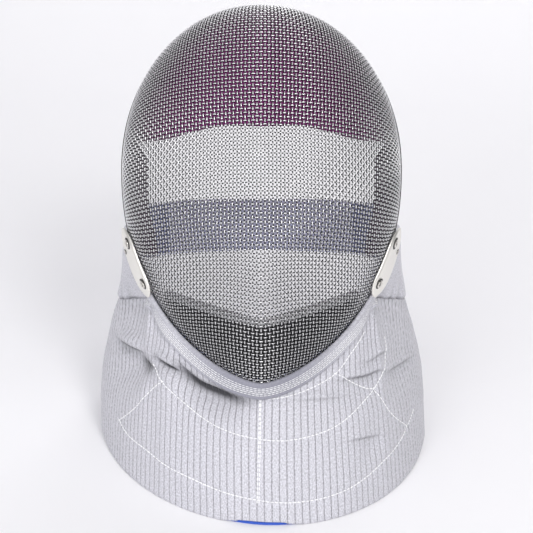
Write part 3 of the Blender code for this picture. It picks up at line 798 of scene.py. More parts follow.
def lame_look(ribs, rows=False):
    """Grey conductive cloth: heathered, finely woven, ribbed downwards or sewn in rows, with painted shade
    in the rib grooves, creases and folds, and near the chin.
    """

    def look(graph, shader):
        place, u, v = cloth_place(graph)
        heather = graph.grain(place, 1150.0, 2.0, (1.0, 0.6, 1.0))
        patches = graph.grain(place, 55.0, 3.0)
        cloud = graph.add(
            "ShaderNodeValToRGB",
            {
                "stops": (
                    (0.34, colour(*(c * 0.76 for c in looks().cloth))),
                    (0.50, colour(*looks().cloth)),
                    (0.64, colour(*(min(1.0, c * 1.24) for c in looks().cloth))),
                )
            },
            Fac=heather,
        )
        shade = graph.mix(patches * 0.25, cloud, colour(0.55, 0.545, 0.60))
        height = heather * 0.35 + weave(u, v, 0.0011) * 0.25
        rough = heather * 0.2 + 0.42
        if ribs:
            pitch = sizes().rib_pitch
            wander = (graph.grain(place, 160.0, 1.0, (0.2, 1.0, 1.0)) - 0.5) * 0.10
            cell = (u / pitch + wander).math("FRACT")
            distance = abs(cell - 0.5)
            broken = graph.grain(place, 700.0, 1.0, (0.15, 1.0, 1.0))
            beside = graph.pulse(abs(u), 0.135, 0.085)
            groove = graph.pulse(distance, 0.02, beside * 0.13 + 0.095)
            line = groove * graph.pulse(broken, 0.60, 0.42)
            crown = 1.0 - (1.0 - distance * 2.0) ** 6.0
            # Painted shade along the rib grooves, stronger towards the bib's sides.
            groove_painted_shade = line * (beside * 0.30 + 0.38) + groove * 0.07
            shade = graph.mix(groove_painted_shade, shade, colour(0.22, 0.215, 0.245))
            height = height * 0.35 + crown * 1.1 - groove * 0.5
        if rows:
            sewn = abs((v / 0.00145).math("FRACT") - 0.5)
            thread = graph.pulse(sewn, 0.10, 0.30) * graph.pulse(v, 0.0074, 0.0082)
            beside = abs(graph.split(graph.add("ShaderNodeTexCoord", output=3))[0])
            # The band darkens a little all along and much more near the chin's middle; the darkening near
            # the middle is painted shade under the mesh.
            trim_darkening_and_chin_shade = graph.pulse(beside, 0.015, 0.07) * 0.66 + 0.20
            shade = graph.mix(trim_darkening_and_chin_shade, shade, colour(0.22, 0.22, 0.27))
            shade = graph.mix(thread * 0.36, shade, colour(0.80, 0.80, 0.83))
            height = height * 0.4 + thread * 0.8
        # Painted shade in the creases and folds, from the cloth's crease attribute.
        crease_painted_shade = graph.add("ShaderNodeAttribute", {"attribute_name": "crease"}, output=2)
        shade = graph.mix(crease_painted_shade, shade, colour(0.035, 0.035, 0.042))
        set_inputs(
            graph,
            shader,
            Base_Color=shade,
            Roughness=rough,
            Sheen_Weight=0.25,
            Sheen_Roughness=0.5,
            Specular_IOR_Level=0.35,
            Normal=bump(graph, height, 0.00042 if ribs else 0.00022),
        )

    return look


def thread_look(graph, shader):
    place = graph.add("ShaderNodeTexCoord", output=3)
    twist = graph.grain(place, 1400.0, 2.0)
    tone = graph.mix(twist, colour(0.90, 0.90, 0.92), colour(0.99, 0.99, 0.99))
    height = bump(graph, twist, 0.00008)
    set_inputs(graph, shader, Base_Color=tone, Roughness=twist * 0.2 + 0.5, Normal=height)


def woven_look(low, high, pitch, depth, rough, sheen):
    """Plain woven cloth or webbing from two tones of yarn."""

    def look(graph, shader):
        place, u, v = cloth_place(graph)
        yarn = graph.grain(place, 1300.0, 2.0, (1.0, 0.3, 1.0))
        wear = graph.grain(place, 70.0, 3.0)
        cells = weave(u, v, pitch)
        tone = graph.mix(cells * 0.55 + yarn * 0.3 + wear * 0.15, colour(*low), colour(*high))
        set_inputs(
            graph,
            shader,
            Base_Color=tone,
            Roughness=yarn * 0.15 + rough,
            Sheen_Weight=sheen,
            Normal=bump(graph, cells + yarn * 0.5, depth),
        )

    return look


def brushed_look(low, high, sheen):
    """Brushed cloth over foam: soft nap in patches."""

    def look(graph, shader):
        place = graph.add("ShaderNodeTexCoord", output=3)
        nap = graph.grain(place, 1100.0, 3.0)
        patches = graph.grain(place, 38.0, 3.0)
        tone = graph.mix(nap * 0.6 + patches * 0.4, colour(*low), colour(*high))
        set_inputs(
            graph,
            shader,
            Base_Color=tone,
            Roughness=patches * 0.15 + 0.75,
            Sheen_Weight=sheen,
            Sheen_Roughness=0.4,
            Normal=bump(graph, nap, 0.0003),
        )

    return look


def floor_look(graph, shader):
    place = graph.add("ShaderNodeTexCoord", output=3)
    mottle = graph.grain(place, 3.0, 2.0)
    lighter = colour(*(min(1.0, c * 1.015) for c in looks().floor))
    tone = graph.mix(mottle, colour(*looks().floor), lighter)
    set_inputs(graph, shader, Base_Color=tone, Roughness=mottle * 0.1 + 0.6)


def material_of(name):
    """The finish of this name, made once."""
    plum = ((0.17, 0.016, 0.12), (0.46, 0.075, 0.37), 0.25)
    finishes = {
        "steel_wire": steel_look,
        "rim_steel": rim_look,
        "satin_nickel": plate_look,
        "eyelet_metal": eyelet_look,
        "painted_shade_recess": recess_shade_look,
        "ribbed_lame": lame_look(True),
        "plain_lame": lame_look(False),
        "stitched_band": lame_look(False, rows=True),
        "white_thread": thread_look,
        "blue_lining": woven_look((0.015, 0.06, 0.42), (0.05, 0.16, 0.75), 0.0009, 0.0001, 0.6, 0.2),
        "plum_brushed": brushed_look(*plum),
        # Darker copy of the plum pad cloth for the cheek pads: painted shade for the sides of the face.
        "shaded_plum_brushed": brushed_look((0.035, 0.008, 0.028), (0.13, 0.03, 0.11), 0.15),
        "black_brushed": brushed_look((0.008, 0.008, 0.009), (0.035, 0.035, 0.038), 0.15),
        # Light grey binding, painted paler still: partly its own colour, partly painted light making up for
        # the shade it sits in.
        "grey_binding_painted_light": woven_look((0.66, 0.66, 0.68), (0.92, 0.92, 0.94), 0.0012, 0.0002, 0.6, 0.2),
        # Webbing paler than the strap's own blue: painted light making up for the shade inside the mask.
        "blue_webbing_painted_light": woven_look((0.68, 0.70, 0.90), (0.90, 0.91, 1.0), 0.0016, 0.0003, 0.55, 0.3),
        "navy_webbing": woven_look((0.16, 0.18, 0.36), (0.36, 0.39, 0.62), 0.0016, 0.0003, 0.55, 0.3),
        "studio_floor": floor_look,
    }
    return new_material(name, finishes[name])


# Geometry Nodes


def new_tree(name, inputs):
    """Empty Geometry Nodes tree with these named inputs: name -> (socket type, default)."""
    tree = bpy.data.node_groups.new(name, "GeometryNodeTree")
    tree.interface.new_socket("Geometry", in_out="INPUT", socket_type="NodeSocketGeometry")
    tree.interface.new_socket("Geometry", in_out="OUTPUT", socket_type="NodeSocketGeometry")
    for label, (kind, default) in inputs.items():
        socket = tree.interface.new_socket(label, in_out="INPUT", socket_type=kind)
        if default is not None:
            socket.default_value = default
    graph = Graph(tree)
    entry = tree.nodes.new("NodeGroupInput")
    return graph, {socket.name: Socket(graph, socket) for socket in entry.outputs if socket.name}


def close_tree(graph, result, material=None):
    """Realizes the result, gives it its material and sends it out."""
    result = graph.add("GeometryNodeRealizeInstances", Geometry=result)
    if material is not None:
        result = graph.add("GeometryNodeSetMaterial", Geometry=result, Material=material)
    leave = graph.tree.nodes.new("NodeGroupOutput")
    graph.put(leave.inputs[0], result)
    return graph.tree


def wire_tree():
    """Sweeps round wire along the edges, moved over and under by their crimp."""
    found = bpy.data.node_groups.get("woven_wire")
    if found:
        return found
    graph, given = new_tree(
        "woven_wire",
        {
            "Wire diameter": ("NodeSocketFloat", 0.001),
            "Crimp": ("NodeSocketFloat", 0.0),
            "Sides": ("NodeSocketInt", 6),
            "Material": ("NodeSocketMaterial", None),
        },
    )
    sway = graph.add("GeometryNodeInputNamedAttribute", {"data_type": "FLOAT_VECTOR"}, Name="crimp")
    offset = graph.add("ShaderNodeVectorMath", {"operation": "SCALE"}, i0=sway, Scale=given["Crimp"])
    moved = graph.add("GeometryNodeSetPosition", Geometry=given["Geometry"], Offset=offset)
    line = graph.add("GeometryNodeMeshToCurve", Mesh=moved)
    section = graph.add(
        "GeometryNodeCurvePrimitiveCircle", Resolution=given["Sides"], Radius=given["Wire diameter"] / 2.0
    )
    swept = graph.add("GeometryNodeCurveToMesh", Curve=line, Profile_Curve=section, Fill_Caps=True)
    smooth = graph.add("GeometryNodeSetShadeSmooth", Geometry=swept)
    return close_tree(graph, smooth, given["Material"])


def stitch_tree():
    """Lays stitches end to end along the edges."""
    found = bpy.data.node_groups.get("stitch_row")
    if found:
        return found
    graph, given = new_tree(
        "stitch_row",
        {
            "Stitch pitch": ("NodeSocketFloat", 0.003),
            "Stitch length": ("NodeSocketFloat", 0.0024),
            "Thread diameter": ("NodeSocketFloat", 0.0006),
            "Material": ("NodeSocketMaterial", None),
        },
    )
    line = graph.add("GeometryNodeMeshToCurve", Mesh=given["Geometry"])
    even = graph.add(
        "GeometryNodeResampleCurve", {"mode": "LENGTH"}, Curve=line, Length=given["Stitch pitch"]
    )
    ball = graph.add("GeometryNodeMeshUVSphere", Segments=6, Rings=4, Radius=0.5)
    tangent = graph.add("GeometryNodeInputTangent")
    turn = graph.add("FunctionNodeAlignRotationToVector", {"axis": "Z"}, Vector=tangent)
    wobble = graph.add(
        "FunctionNodeRandomValue", {"data_type": "FLOAT"}, output=1, i2=0.85, i3=1.1, Seed=4
    )
    size = graph.add(
        "ShaderNodeCombineXYZ",
        X=given["Thread diameter"] * wobble,
        Y=given["Thread diameter"] * wobble,
        Z=given["Stitch length"] * wobble,
    )
    row = graph.add("GeometryNodeInstanceOnPoints", Points=even, Instance=ball, Rotation=turn, Scale=size)
    whole = graph.add("GeometryNodeRealizeInstances", Geometry=row)
    smooth = graph.add("GeometryNodeSetShadeSmooth", Geometry=whole)
    return close_tree(graph, smooth, given["Material"])


def eyelet_tree():
    """Sets a rolled eyelet on each point, facing along its crimp, with a floor and a small dome in near
    black painted as the shade inside its hole.
    """
    found = bpy.data.node_groups.get("eyelets")
    if found:
        return found
    graph, given = new_tree(
        "eyelets",
        {
            "Ring": ("NodeSocketMaterial", None),
            "Recess": ("NodeSocketMaterial", None),
        },
    )
    path = graph.add("GeometryNodeCurvePrimitiveCircle", Resolution=24, Radius=0.25)
    section = graph.add("GeometryNodeCurvePrimitiveCircle", Resolution=10, Radius=0.12)
    ring = graph.add("GeometryNodeCurveToMesh", Curve=path, Profile_Curve=section)
    ring = graph.add("GeometryNodeSetMaterial", Geometry=ring, Material=given["Ring"])
    floor = graph.add("GeometryNodeMeshUVSphere", Segments=28, Rings=8, Radius=0.50)
    floor = graph.add("GeometryNodeTransform", Geometry=floor, Scale=(1.0, 1.0, 0.13))
    floor = graph.add("GeometryNodeSetMaterial", Geometry=floor, Material=given["Recess"])
    dome = graph.add("GeometryNodeMeshUVSphere", Segments=16, Rings=8, Radius=0.17)
    dome = graph.add("GeometryNodeTransform", Geometry=dome, Scale=(1.0, 1.0, 0.5))
    dome = graph.add("GeometryNodeSetMaterial", Geometry=dome, Material=given["Recess"])
    join = graph.tree.nodes.new("GeometryNodeJoinGeometry")
    for part in (ring, floor, dome):
        graph.tree.links.new(part.socket, join.inputs[0])
    facing = graph.add("GeometryNodeInputNamedAttribute", {"data_type": "FLOAT_VECTOR"}, Name="crimp")
    size = graph.add("GeometryNodeInputNamedAttribute", {"data_type": "FLOAT"}, Name="size")
    turn = graph.add("FunctionNodeAlignRotationToVector", {"axis": "Z"}, Vector=facing)
    points = graph.add("GeometryNodeMeshToPoints", Mesh=given["Geometry"], Radius=0.001)
    row = graph.add(
        "GeometryNodeInstanceOnPoints",
        Points=points,
        Instance=Socket(graph, join.outputs[0]),
        Rotation=turn,
        Scale=size,
    )
    whole = graph.add("GeometryNodeRealizeInstances", Geometry=row)
    smooth = graph.add("GeometryNodeSetShadeSmooth", Geometry=whole)
    return close_tree(graph, smooth)


def grow(name, chains, tree, values, crimps=None, sizes=None, crowns=None, cyclic=False):
    """Runs a tree over chains of points and returns the result as a plain mesh object."""
    mesh = bpy.data.meshes.new(name)
    points, edges = [], []
    for chain in chains:
        first = len(points)
        points += [tuple(p) for p in chain]
        edges += [(k, k + 1) for k in range(first, len(points) - 1)]
        if cyclic:
            edges.append((len(points) - 1, first))
    mesh.from_pydata(points, edges, [])
    if crimps is not None:
        flat = np.array([tuple(c) for chain in crimps for c in chain], dtype=np.float32)
        mesh.attributes.new("crimp", "FLOAT_VECTOR", "POINT").data.foreach_set("vector", flat.ravel())
    if sizes is not None:
        mesh.attributes.new("size", "FLOAT", "POINT").data.foreach_set("value", sizes)
    if crowns is not None:
        mesh.attributes.new("crown", "FLOAT", "POINT").data.foreach_set("value", crowns)
    carrier = link(bpy.data.objects.new(name + "_lines", mesh))
    modifier = carrier.modifiers.new("nodes", "NODES")
    modifier.node_group = tree
    for item in tree.interface.items_tree:
        if item.item_type == "SOCKET" and item.in_out == "INPUT" and item.name in values:
            modifier[item.identifier] = values[item.name]
    graph = bpy.context.evaluated_depsgraph_get()
    graph.update()
    plain = bpy.data.meshes.new_from_object(carrier.evaluated_get(graph), depsgraph=graph)
    bpy.data.objects.remove(carrier)
    bpy.data.meshes.remove(mesh)
    plain.name = name
    for spare in ("crimp", "size"):
        if spare in plain.attributes:
            plain.attributes.remove(plain.attributes[spare])
    return link(bpy.data.objects.new(name, plain))


def even_piece(name, middle, wall, look):
    """Sheet of an even wall about its middle surface."""
    normals = grid_normals(middle)
    return cloth_piece(name, middle + normals * wall / 2, middle - normals * wall / 2, material_of(look))


# The woven wire


def wire_number(flat, lay, pitch):
    """Numbers the wires over the flattened dome: whole along each wire, in parts between them."""
    x, y = flat[..., 0] / LAY_REACH, flat[..., 1] / LAY_REACH
    return sum(share * x**m * y**n for (m, n), share in lay.items()) * LAY_PITCH / pitch


def dome_grid(turns=360, rings=130, last=1.04):
    """The dome as a grid of points round and out, with the directions out, the shares of the arc
    and the places when it is laid flat about its nose."""
    angles = np.linspace(0, math.tau, turns + 1)
    shares = np.linspace(0, last, rings + 1)
    points = np.array([[tuple(dome_surface(angle, share)) for share in shares] for angle in angles])
    normals = np.cross(np.gradient(points, axis=0), np.gradient(points, axis=1))
    normals[:, 0] = normals[:, 1]
    normals /= np.linalg.norm(normals, axis=2, keepdims=True)
    normals[((points - np.array([0, 0, RIM_WAIST])) * normals).sum(axis=2) < 0] *= -1
    arcs = np.zeros(points.shape[:2])
    arcs[:, 1:] = np.linalg.norm(np.diff(points, axis=1), axis=2).cumsum(axis=1)
    rims = np.array([tuple(rim_point(angle)) for angle in angles])
    ways = rims[:, [0, 2]] - np.array([0, NOSE_HEIGHT])
    ways /= np.linalg.norm(ways, axis=1, keepdims=True)
    return points, normals, shares, arcs[..., None] * ways[:, None]


def lay_net(pitch):
    """Crossings of the wires on the dome: (upright, cross) -> place, direction out, share."""
    points, normals, shares, flat = dome_grid()
    upright = wire_number(flat, UPRIGHT_LAY, pitch).ravel()
    cross = wire_number(flat, CROSS_LAY, pitch).ravel()
    turns, rings = points.shape[:2]
    first = (np.arange(turns - 1)[:, None] * rings + np.arange(rings - 1)).ravel()
    corners = np.concatenate([
        np.stack([first, first + rings, first + rings + 1], axis=1),
        np.stack([first, first + rings + 1, first + 1], axis=1),
    ])
    lows = [np.ceil(number[corners].min(axis=1) - 1e-6).astype(int) for number in (upright, cross)]
    highs = [np.floor(number[corners].max(axis=1) + 1e-6).astype(int) for number in (upright, cross)]
    places, outs, arcs = points.reshape(-1, 3), normals.reshape(-1, 3), np.tile(shares, turns)
    net = {}
    for k in np.flatnonzero((lows[0] <= highs[0]) & (lows[1] <= highs[1])):
        corner = corners[k]
        sides = np.array([upright[corner], cross[corner], np.ones(3)])
        if abs(np.linalg.det(sides)) < 1e-9:
            continue
        inverse = np.linalg.inv(sides)
        for i in range(lows[0][k], highs[0][k] + 1):
            for j in range(lows[1][k], highs[1][k] + 1):
                parts = inverse @ (i, j, 1)
                if parts.min() > -1e-6:
                    out = Vector(parts @ outs[corner]).normalized()
                    net[(i, j)] = (Vector(parts @ places[corner]), out, float(parts @ arcs[corner]))
    return net


def crimped(run, sign):
    """Two points for each crossing of a wire, their crimp over or under and which lie over."""
    points, crimps, crowns = [], [], []
    for number, (key, (point, normal, _)) in enumerate(run):
        side = sign if (key[0] + key[1]) % 2 else -sign
        for other in (number - 1, number + 1):
            neighbour = run[other][1][0] if 0 <= other < len(run) else point
            points.append(FRAME @ point.lerp(neighbour, CRIMP_SHARE))
            crimps.append(FRAME.to_3x3() @ (normal * side))
            crowns.append(max(0.0, side))
    return points, crimps, crowns


def wire_runs(net, fixed, last_share):
    """The net's wires in one direction, each a run of crossings inside the rim and one past it."""
    rows = {}
    for key in net:
        rows.setdefault(key[fixed], []).append(key)
    runs = []
    for number in sorted(rows):
        keys = sorted(rows[number], key=lambda k: k[1 - fixed])
        inside = [k for k, key in enumerate(keys) if net[key][2] <= last_share]
        if not inside:
            continue
        run = [(key, net[key]) for key in keys[inside[0] : inside[-1] + 1]]
        for place, other in ((0, inside[0] - 1), (len(run), inside[-1] + 1)):
            if 0 <= other < len(keys):
                near = run[0][1] if place == 0 else run[-1][1]
                far = net[keys[other]]
                share = (last_share - near[2]) / max(far[2] - near[2], 1e-6)
                cut = (near[0].lerp(far[0], min(max(share, 0.05), 1.0)), near[1], last_share)
                run.insert(place, (keys[other], cut))
        if len(run) > 1:
            runs.append((number, run))
    return runs


def weave_wires(name, runs, sign, node):
    """Sweeps the wires that lie this way at odd crossings, and the other way at even ones."""
    chains, crimps, crowns = zip(*(crimped(run, sign) for _, run in runs))
    values = {
        "Wire diameter": sizes().wire_diameter,
        "Crimp": sizes().wire_diameter * 0.46,
        "Sides": sizes().wire_sides,
        "Material": material_of("steel_wire"),
    }
    piece = grow(name, chains, wire_tree(), values, crimps=crimps, crowns=sum(crowns, []))
    return place_piece(piece, "wire_mesh", node)


# Properties


class MaskSizes(bpy.types.PropertyGroup):
    wire_diameter: FloatProperty(
        name="Wire diameter", description="Thickness of the woven wire", default=0.00098, unit="LENGTH"
    )
    wire_pitch: FloatProperty(
        name="Wire pitch", description="Distance between neighbouring wires", default=0.00265, unit="LENGTH"
    )
    wire_sides: IntProperty(
        name="Wire sides", description="Flat sides of each wire", default=5, min=3, max=12
    )
    rib_pitch: FloatProperty(
        name="Rib pitch", description="Distance between the cloth's ribs", default=0.0052, unit="LENGTH"
    )
    stitch_pitch: FloatProperty(
        name="Stitch pitch", description="Distance between stitches", default=0.0031, unit="LENGTH"
    )
    stitch_length: FloatProperty(
        name="Stitch length", description="Length of one stitch", default=0.0031, unit="LENGTH"
    )
    thread: FloatProperty(
        name="Thread", description="Thickness of the sewing thread", default=0.00095, unit="LENGTH"
    )
    eyelet: FloatProperty(
        name="Eyelet", description="Width across a side plate's eyelet", default=0.0090, unit="LENGTH"
    )


class MaskLooks(bpy.types.PropertyGroup):
    cloth: FloatVectorProperty(
        name="Cloth", description="Colour of the grey cloth", subtype="COLOR", default=(0.57, 0.566, 0.612)
    )
    # The wire's painted highlight where it lies over a crossing and its painted shade where it dips under.
    wire_painted_highlight: FloatVectorProperty(
        name="Bright wire", description="Colour of lit wire", subtype="COLOR", default=(0.90, 0.90, 0.91)
    )
    wire_painted_shade: FloatVectorProperty(
        name="Shaded wire", description="Colour of dull wire", subtype="COLOR", default=(0.038, 0.038, 0.040)
    )
    plate: FloatVectorProperty(
        name="Plates", description="Colour of the side plates", subtype="COLOR", default=(0.80, 0.78, 0.73)
    )
    floor: FloatVectorProperty(
        name="Floor", description="Colour of the studio floor", subtype="COLOR", default=(0.915, 0.91, 0.925)
    )


def sizes():
    return bpy.context.scene.mask_sizes


def looks():
    return bpy.context.scene.mask_looks


# Operators


class MaskOperator:
    bl_options = {"REGISTER", "UNDO"}

    def execute(self, context):
        self.make(context)
        return {"FINISHED"}


class MASK_OT_face_wires(MaskOperator, bpy.types.Operator):
    """Weaves the wire dome over the face"""

    bl_idname = "mask.face_wires"
    bl_label = "Face wires"

    def make(self, context):
        net = lay_net(sizes().wire_pitch)
        for way, fixed, first, second in (("upright", 0, "left", "right"), ("cross", 1, "lower", "upper")):
            runs = wire_runs(net, fixed, FACE_WIRE_END)
            sign = 1 - 2 * fixed
            for part, chosen in (
                (first, [run for run in runs if run[0] < 0]),
                (second, [run for run in runs if run[0] >= 0]),
            ):
                weave_wires(f"face_{way}_wires_{part}", chosen, sign, "front_mesh")


class MASK_OT_rear_wires(MaskOperator, bpy.types.Operator):
    """Weaves the rear mesh behind the rim"""

    bl_idname = "mask.rear_wires"
    bl_label = "Rear wires"

    def make(self, context):
        pitch = sizes().wire_pitch
        count = 900
        ring = [rim_point(blend(-REAR_END, REAR_END, k / count)) for k in range(count + 1)]
        lengths = np.concatenate([[0], np.cumsum([(b - a).length for a, b in zip(ring, ring[1:])])])
        columns = int(lengths[-1] / pitch)
        angles = np.interp(
            np.linspace(0, lengths[-1], columns + 1), lengths, np.linspace(-REAR_END, REAR_END, count + 1)
        )
        net = {}
        for i, angle in enumerate(angles):
            reach = (rear_surface(angle, 1) - rear_surface(angle, 0)).length
            for j in range(int(REAR_DEPTH_TOP * 1.2 / pitch)):
                share = j * pitch / reach
                point = rear_surface(angle, share)
                run = rear_surface(angle + 0.01, share) - rear_surface(angle - 0.01, share)
                back = rear_surface(angle, share + 0.02) - rear_surface(angle, share - 0.02)
                normal = run.cross(back).normalized()
                if normal.dot(Vector((point.x, 0, point.z - RIM_WAIST))) < 0:
                    normal.negate()
                net[(i, j)] = (point, normal, share)
        weave_wires("rear_back_wires", wire_runs(net, 0, 1.0), 1, "rear_mesh")
        hoops = [(number, part) for number, run in self.rows(net) for part in self.unbroken(run)]
        weave_wires("rear_hoop_wires", hoops, -1, "rear_mesh")

    @staticmethod
    def rows(net):
        found = {}
        for key in sorted(net):
            found.setdefault(key[1], []).append((key, net[key]))
        return [(number, run) for number, run in sorted(found.items()) if number > 0]

    @staticmethod
    def unbroken(run):
        """Splits a hoop where it leaves the mesh's free edge."""
        pieces, current = [], []
        for item in run:
            if item[1][2] <= 1.0:
                current.append(item)
            elif current:
                pieces.append(current)
                current = []
        if current:
            pieces.append(current)
        return [piece for piece in pieces if len(piece) > 1]


class MASK_OT_rim(MaskOperator, bpy.types.Operator):
    """Sweeps the rim's round wire"""

    bl_idname = "mask.rim"
    bl_label = "Rim"

    def make(self, context):
        points = [FRAME @ rim_point(math.tau * k / 260) for k in range(260)]
        steel = material_of("rim_steel")
        values = {"Wire diameter": RIM_WIRE, "Crimp": 0.0, "Sides": RIM_SIDES, "Material": steel}
        piece = grow("rim_hoop", [points], wire_tree(), values, cyclic=True)
        place_piece(piece, "wire_mesh", "rim_wire")


class MASK_OT_rear_edging(MaskOperator, bpy.types.Operator):
    """Binds the rear mesh's free edge with cloth"""

    bl_idname = "mask.rear_edging"
    bl_label = "Rear edging"

    def make(self, context):
        columns, turns = 220, 10

        def place(u, v):
            angle = blend(-REAR_END, REAR_END, u)
            edge = rear_surface(angle, 1)
            back = (rear_surface(angle, 1.05) - edge).normalized()
            run = (rear_surface(angle + 0.01, 1) - rear_surface(angle - 0.01, 1)).normalized()
            out = run.cross(back).normalized()
            turn = math.pi * blend(-EDGING_WRAP, EDGING_WRAP, v)
            centre = edge + back * (EDGING / 2 - EDGING_LAP)
            length, thickness = math.cos(turn) * EDGING_LENGTH, math.sin(turn) * EDGING_THICKNESS
            return FRAME @ (centre + back * length + out * thickness)

        middle = grid_points(columns, turns, place)
        piece = even_piece("rear_binding", middle, BINDING_CLOTH, "grey_binding_painted_light")
        declare_sheet(middle)
        place_piece(piece, "binding_cloth", "rear_edging")


class MASK_OT_side_plates(MaskOperator, bpy.types.Operator):
    """Shapes the two metal plates with their lips and eyelets"""

    bl_idname = "mask.side_plates"
    bl_label = "Side plates"

    def plate_frame(self, side, along):
        turn = blend(*(PLATE_TURN_LEFT if side < 0 else PLATE_TURN_RIGHT), along)
        angle = side * blend(PLATE_FROM, PLATE_TO, along)
        outward = rim_outward(angle)
        backward = (-FORWARD * math.cos(turn) + outward * math.sin(turn)).normalized()
        face = (outward * math.cos(turn) + FORWARD * math.sin(turn)).normalized()
        stand_off = (RIM_WIRE / 2 + 3 * GAP + PLATE_WALL / 2 + PLATE_STAND) / math.cos(turn)
        return rim_point(angle) + outward * stand_off - backward * PLATE_LEAD, backward, face

    def make(self, context):
        columns, rows = 16, 56
        for name, side in (("left", -1), ("right", 1)):

            def place(u, v, side=side):
                middle, backward, face = self.plate_frame(side, v)
                end = abs(2 * v - 1)
                half = PLATE_WIDTH / 2 * (1 - end**PLATE_CORNERS * PLATE_END_CUT)
                if u < PLATE_BEND_SHARE:
                    turn = math.pi / 2 * (1 - u / PLATE_BEND_SHARE)
                    lip = PLATE_LIP * (1 - end**6)
                    reach = half - PLATE_FOLD * (1 - math.sin(turn))
                    return FRAME @ (middle - backward * reach - face * lip * math.sin(turn))
                flat = (u - PLATE_BEND_SHARE) / (1 - PLATE_BEND_SHARE)
                across = blend(-half + PLATE_FOLD, half, flat)
                crown = PLATE_CROWN * (1 - (across / half) ** 2)
                return FRAME @ (middle + backward * across + face * crown)

            middle = grid_points(columns, rows, place)
            piece = even_piece(f"cheek_plate_{name}", middle, PLATE_WALL, "satin_nickel")
            place_piece(piece, "plate_metal", f"side_plate_{name}")
            points, faces, widths = [], [], []
            for along, across, share in EYELETS:
                centre, backward, face = self.plate_frame(side, along)
                on_face = centre + face * (PLATE_WALL / 2 + EYELET_STAND)
                points.append(FRAME @ (on_face + backward * across * PLATE_WIDTH))
                faces.append(FRAME.to_3x3() @ face)
                widths.append(sizes().eyelet * share)
            values = {"Ring": material_of("eyelet_metal"), "Recess": material_of("painted_shade_recess")}
            rivets = grow(
                f"eyelets_{name}", [[p] for p in points], eyelet_tree(), values, crimps=[faces], sizes=widths
            )
            nodes = [f"rivet_{name}_{spot}" for spot in ("top", "bottom", "small")]
            place_piece(rivets, "plate_metal", *nodes)


class MASK_OT_ear_flaps(MaskOperator, bpy.types.Operator):
    """Shapes the smooth cloth over the ears"""

    bl_idname = "mask.ear_flaps"
    bl_label = "Ear flaps"

    def make(self, context):
        for name, side in (("left", -1), ("right", 1)):
            middle = grid_points(48, 40, lambda u, v, side=side: FRAME @ flap_point(side, u, v))
            normals = grid_normals(middle)
            outward = np.array([side, 0, 0])
            if (normals.reshape(-1, 3) @ outward).mean() < 0:
                normals = -normals
            start = Vector((7, 3, side))
            swells = [[noise.noise(Vector(p) * 38 + start) for p in row] for row in middle]
            relief = FLAP_SWELL * np.array(swells)
            down = np.linspace(0, 1, middle.shape[1])[None]
            across = np.linspace(0, 1, middle.shape[0])[:, None]
            near_seam = np.clip((down - 0.62) / 0.38, 0, 1) ** 1.5
            pucker = np.sin(across * 26 + 2.2 * np.sin(across * 9 + side) + down * 4)
            relief = relief + near_seam * (FLAP_PUCKER * pucker + FLAP_SEAM_SWELL)
            relief -= np.clip((down - 0.96) / 0.04, 0, 1) * FLAP_TURNED_DROP
            # Painted shade along the turned-under lower edge and in the pucker valleys near the seam.
            dark = np.clip((down - 0.955) / 0.045, 0, 1) * 0.5
            dark = dark + near_seam * np.clip(-pucker, 0, 1) * 0.22
            outer = middle + normals * (FLAP_WALL / 2 + relief)[..., None]
            inner = middle - normals * FLAP_WALL / 2
            piece = cloth_piece(f"ear_cloth_{name}", outer, inner, material_of("plain_lame"), tint=dark)
            declare_sheet(middle)
            place_piece(piece, "lame_cloth", f"ear_flap_{name}")


def sew(name, chains, closeness=1.0, thinness=1.0):
    """Rows of stitches along chains of points."""
    values = {
        "Stitch pitch": sizes().stitch_pitch * closeness,
        "Stitch length": sizes().stitch_length * closeness,
        "Thread diameter": sizes().thread * thinness,
        "Material": material_of("white_thread"),
    }
    return place_piece(grow(name, chains, stitch_tree(), values), "lame_cloth")


BIB_COLUMNS = 280
BIB_ROWS = 140


def bib_surface():
    """Middle surface of the bib with its directions out and its flat cloth's coordinates."""
    columns = []
    for i in range(BIB_COLUMNS + 1):
        along = 2 * i / BIB_COLUMNS - 1
        column = bib_column(along)
        columns.append([bib_point(along, j / BIB_ROWS, column) for j in range(BIB_ROWS + 1)])
    middle = np.array(columns)
    normals = grid_normals(middle)
    if normals[BIB_COLUMNS // 2, BIB_ROWS // 2, 1] > 0:
        normals = -normals
    level = np.cross(np.array([0, 0, 1.0]), normals)
    level /= np.maximum(np.linalg.norm(level, axis=2, keepdims=True), 1e-9)
    steps = np.diff(middle, axis=0)
    travel = np.abs((steps * (level[1:] + level[:-1]) / 2).sum(axis=2))
    sheet_u = np.zeros(middle.shape[:2])
    sheet_u[1:] = np.cumsum(travel, axis=0)
    sheet_u -= sheet_u[BIB_COLUMNS // 2]
    falls = np.linalg.norm(np.diff(middle, axis=1), axis=2)
    sheet_v = np.zeros(middle.shape[:2])
    sheet_v[:, 1:] = np.cumsum(falls, axis=1)
    sheet_v -= sheet_v[:, -1:]
    return middle, normals, sheet_u, sheet_v


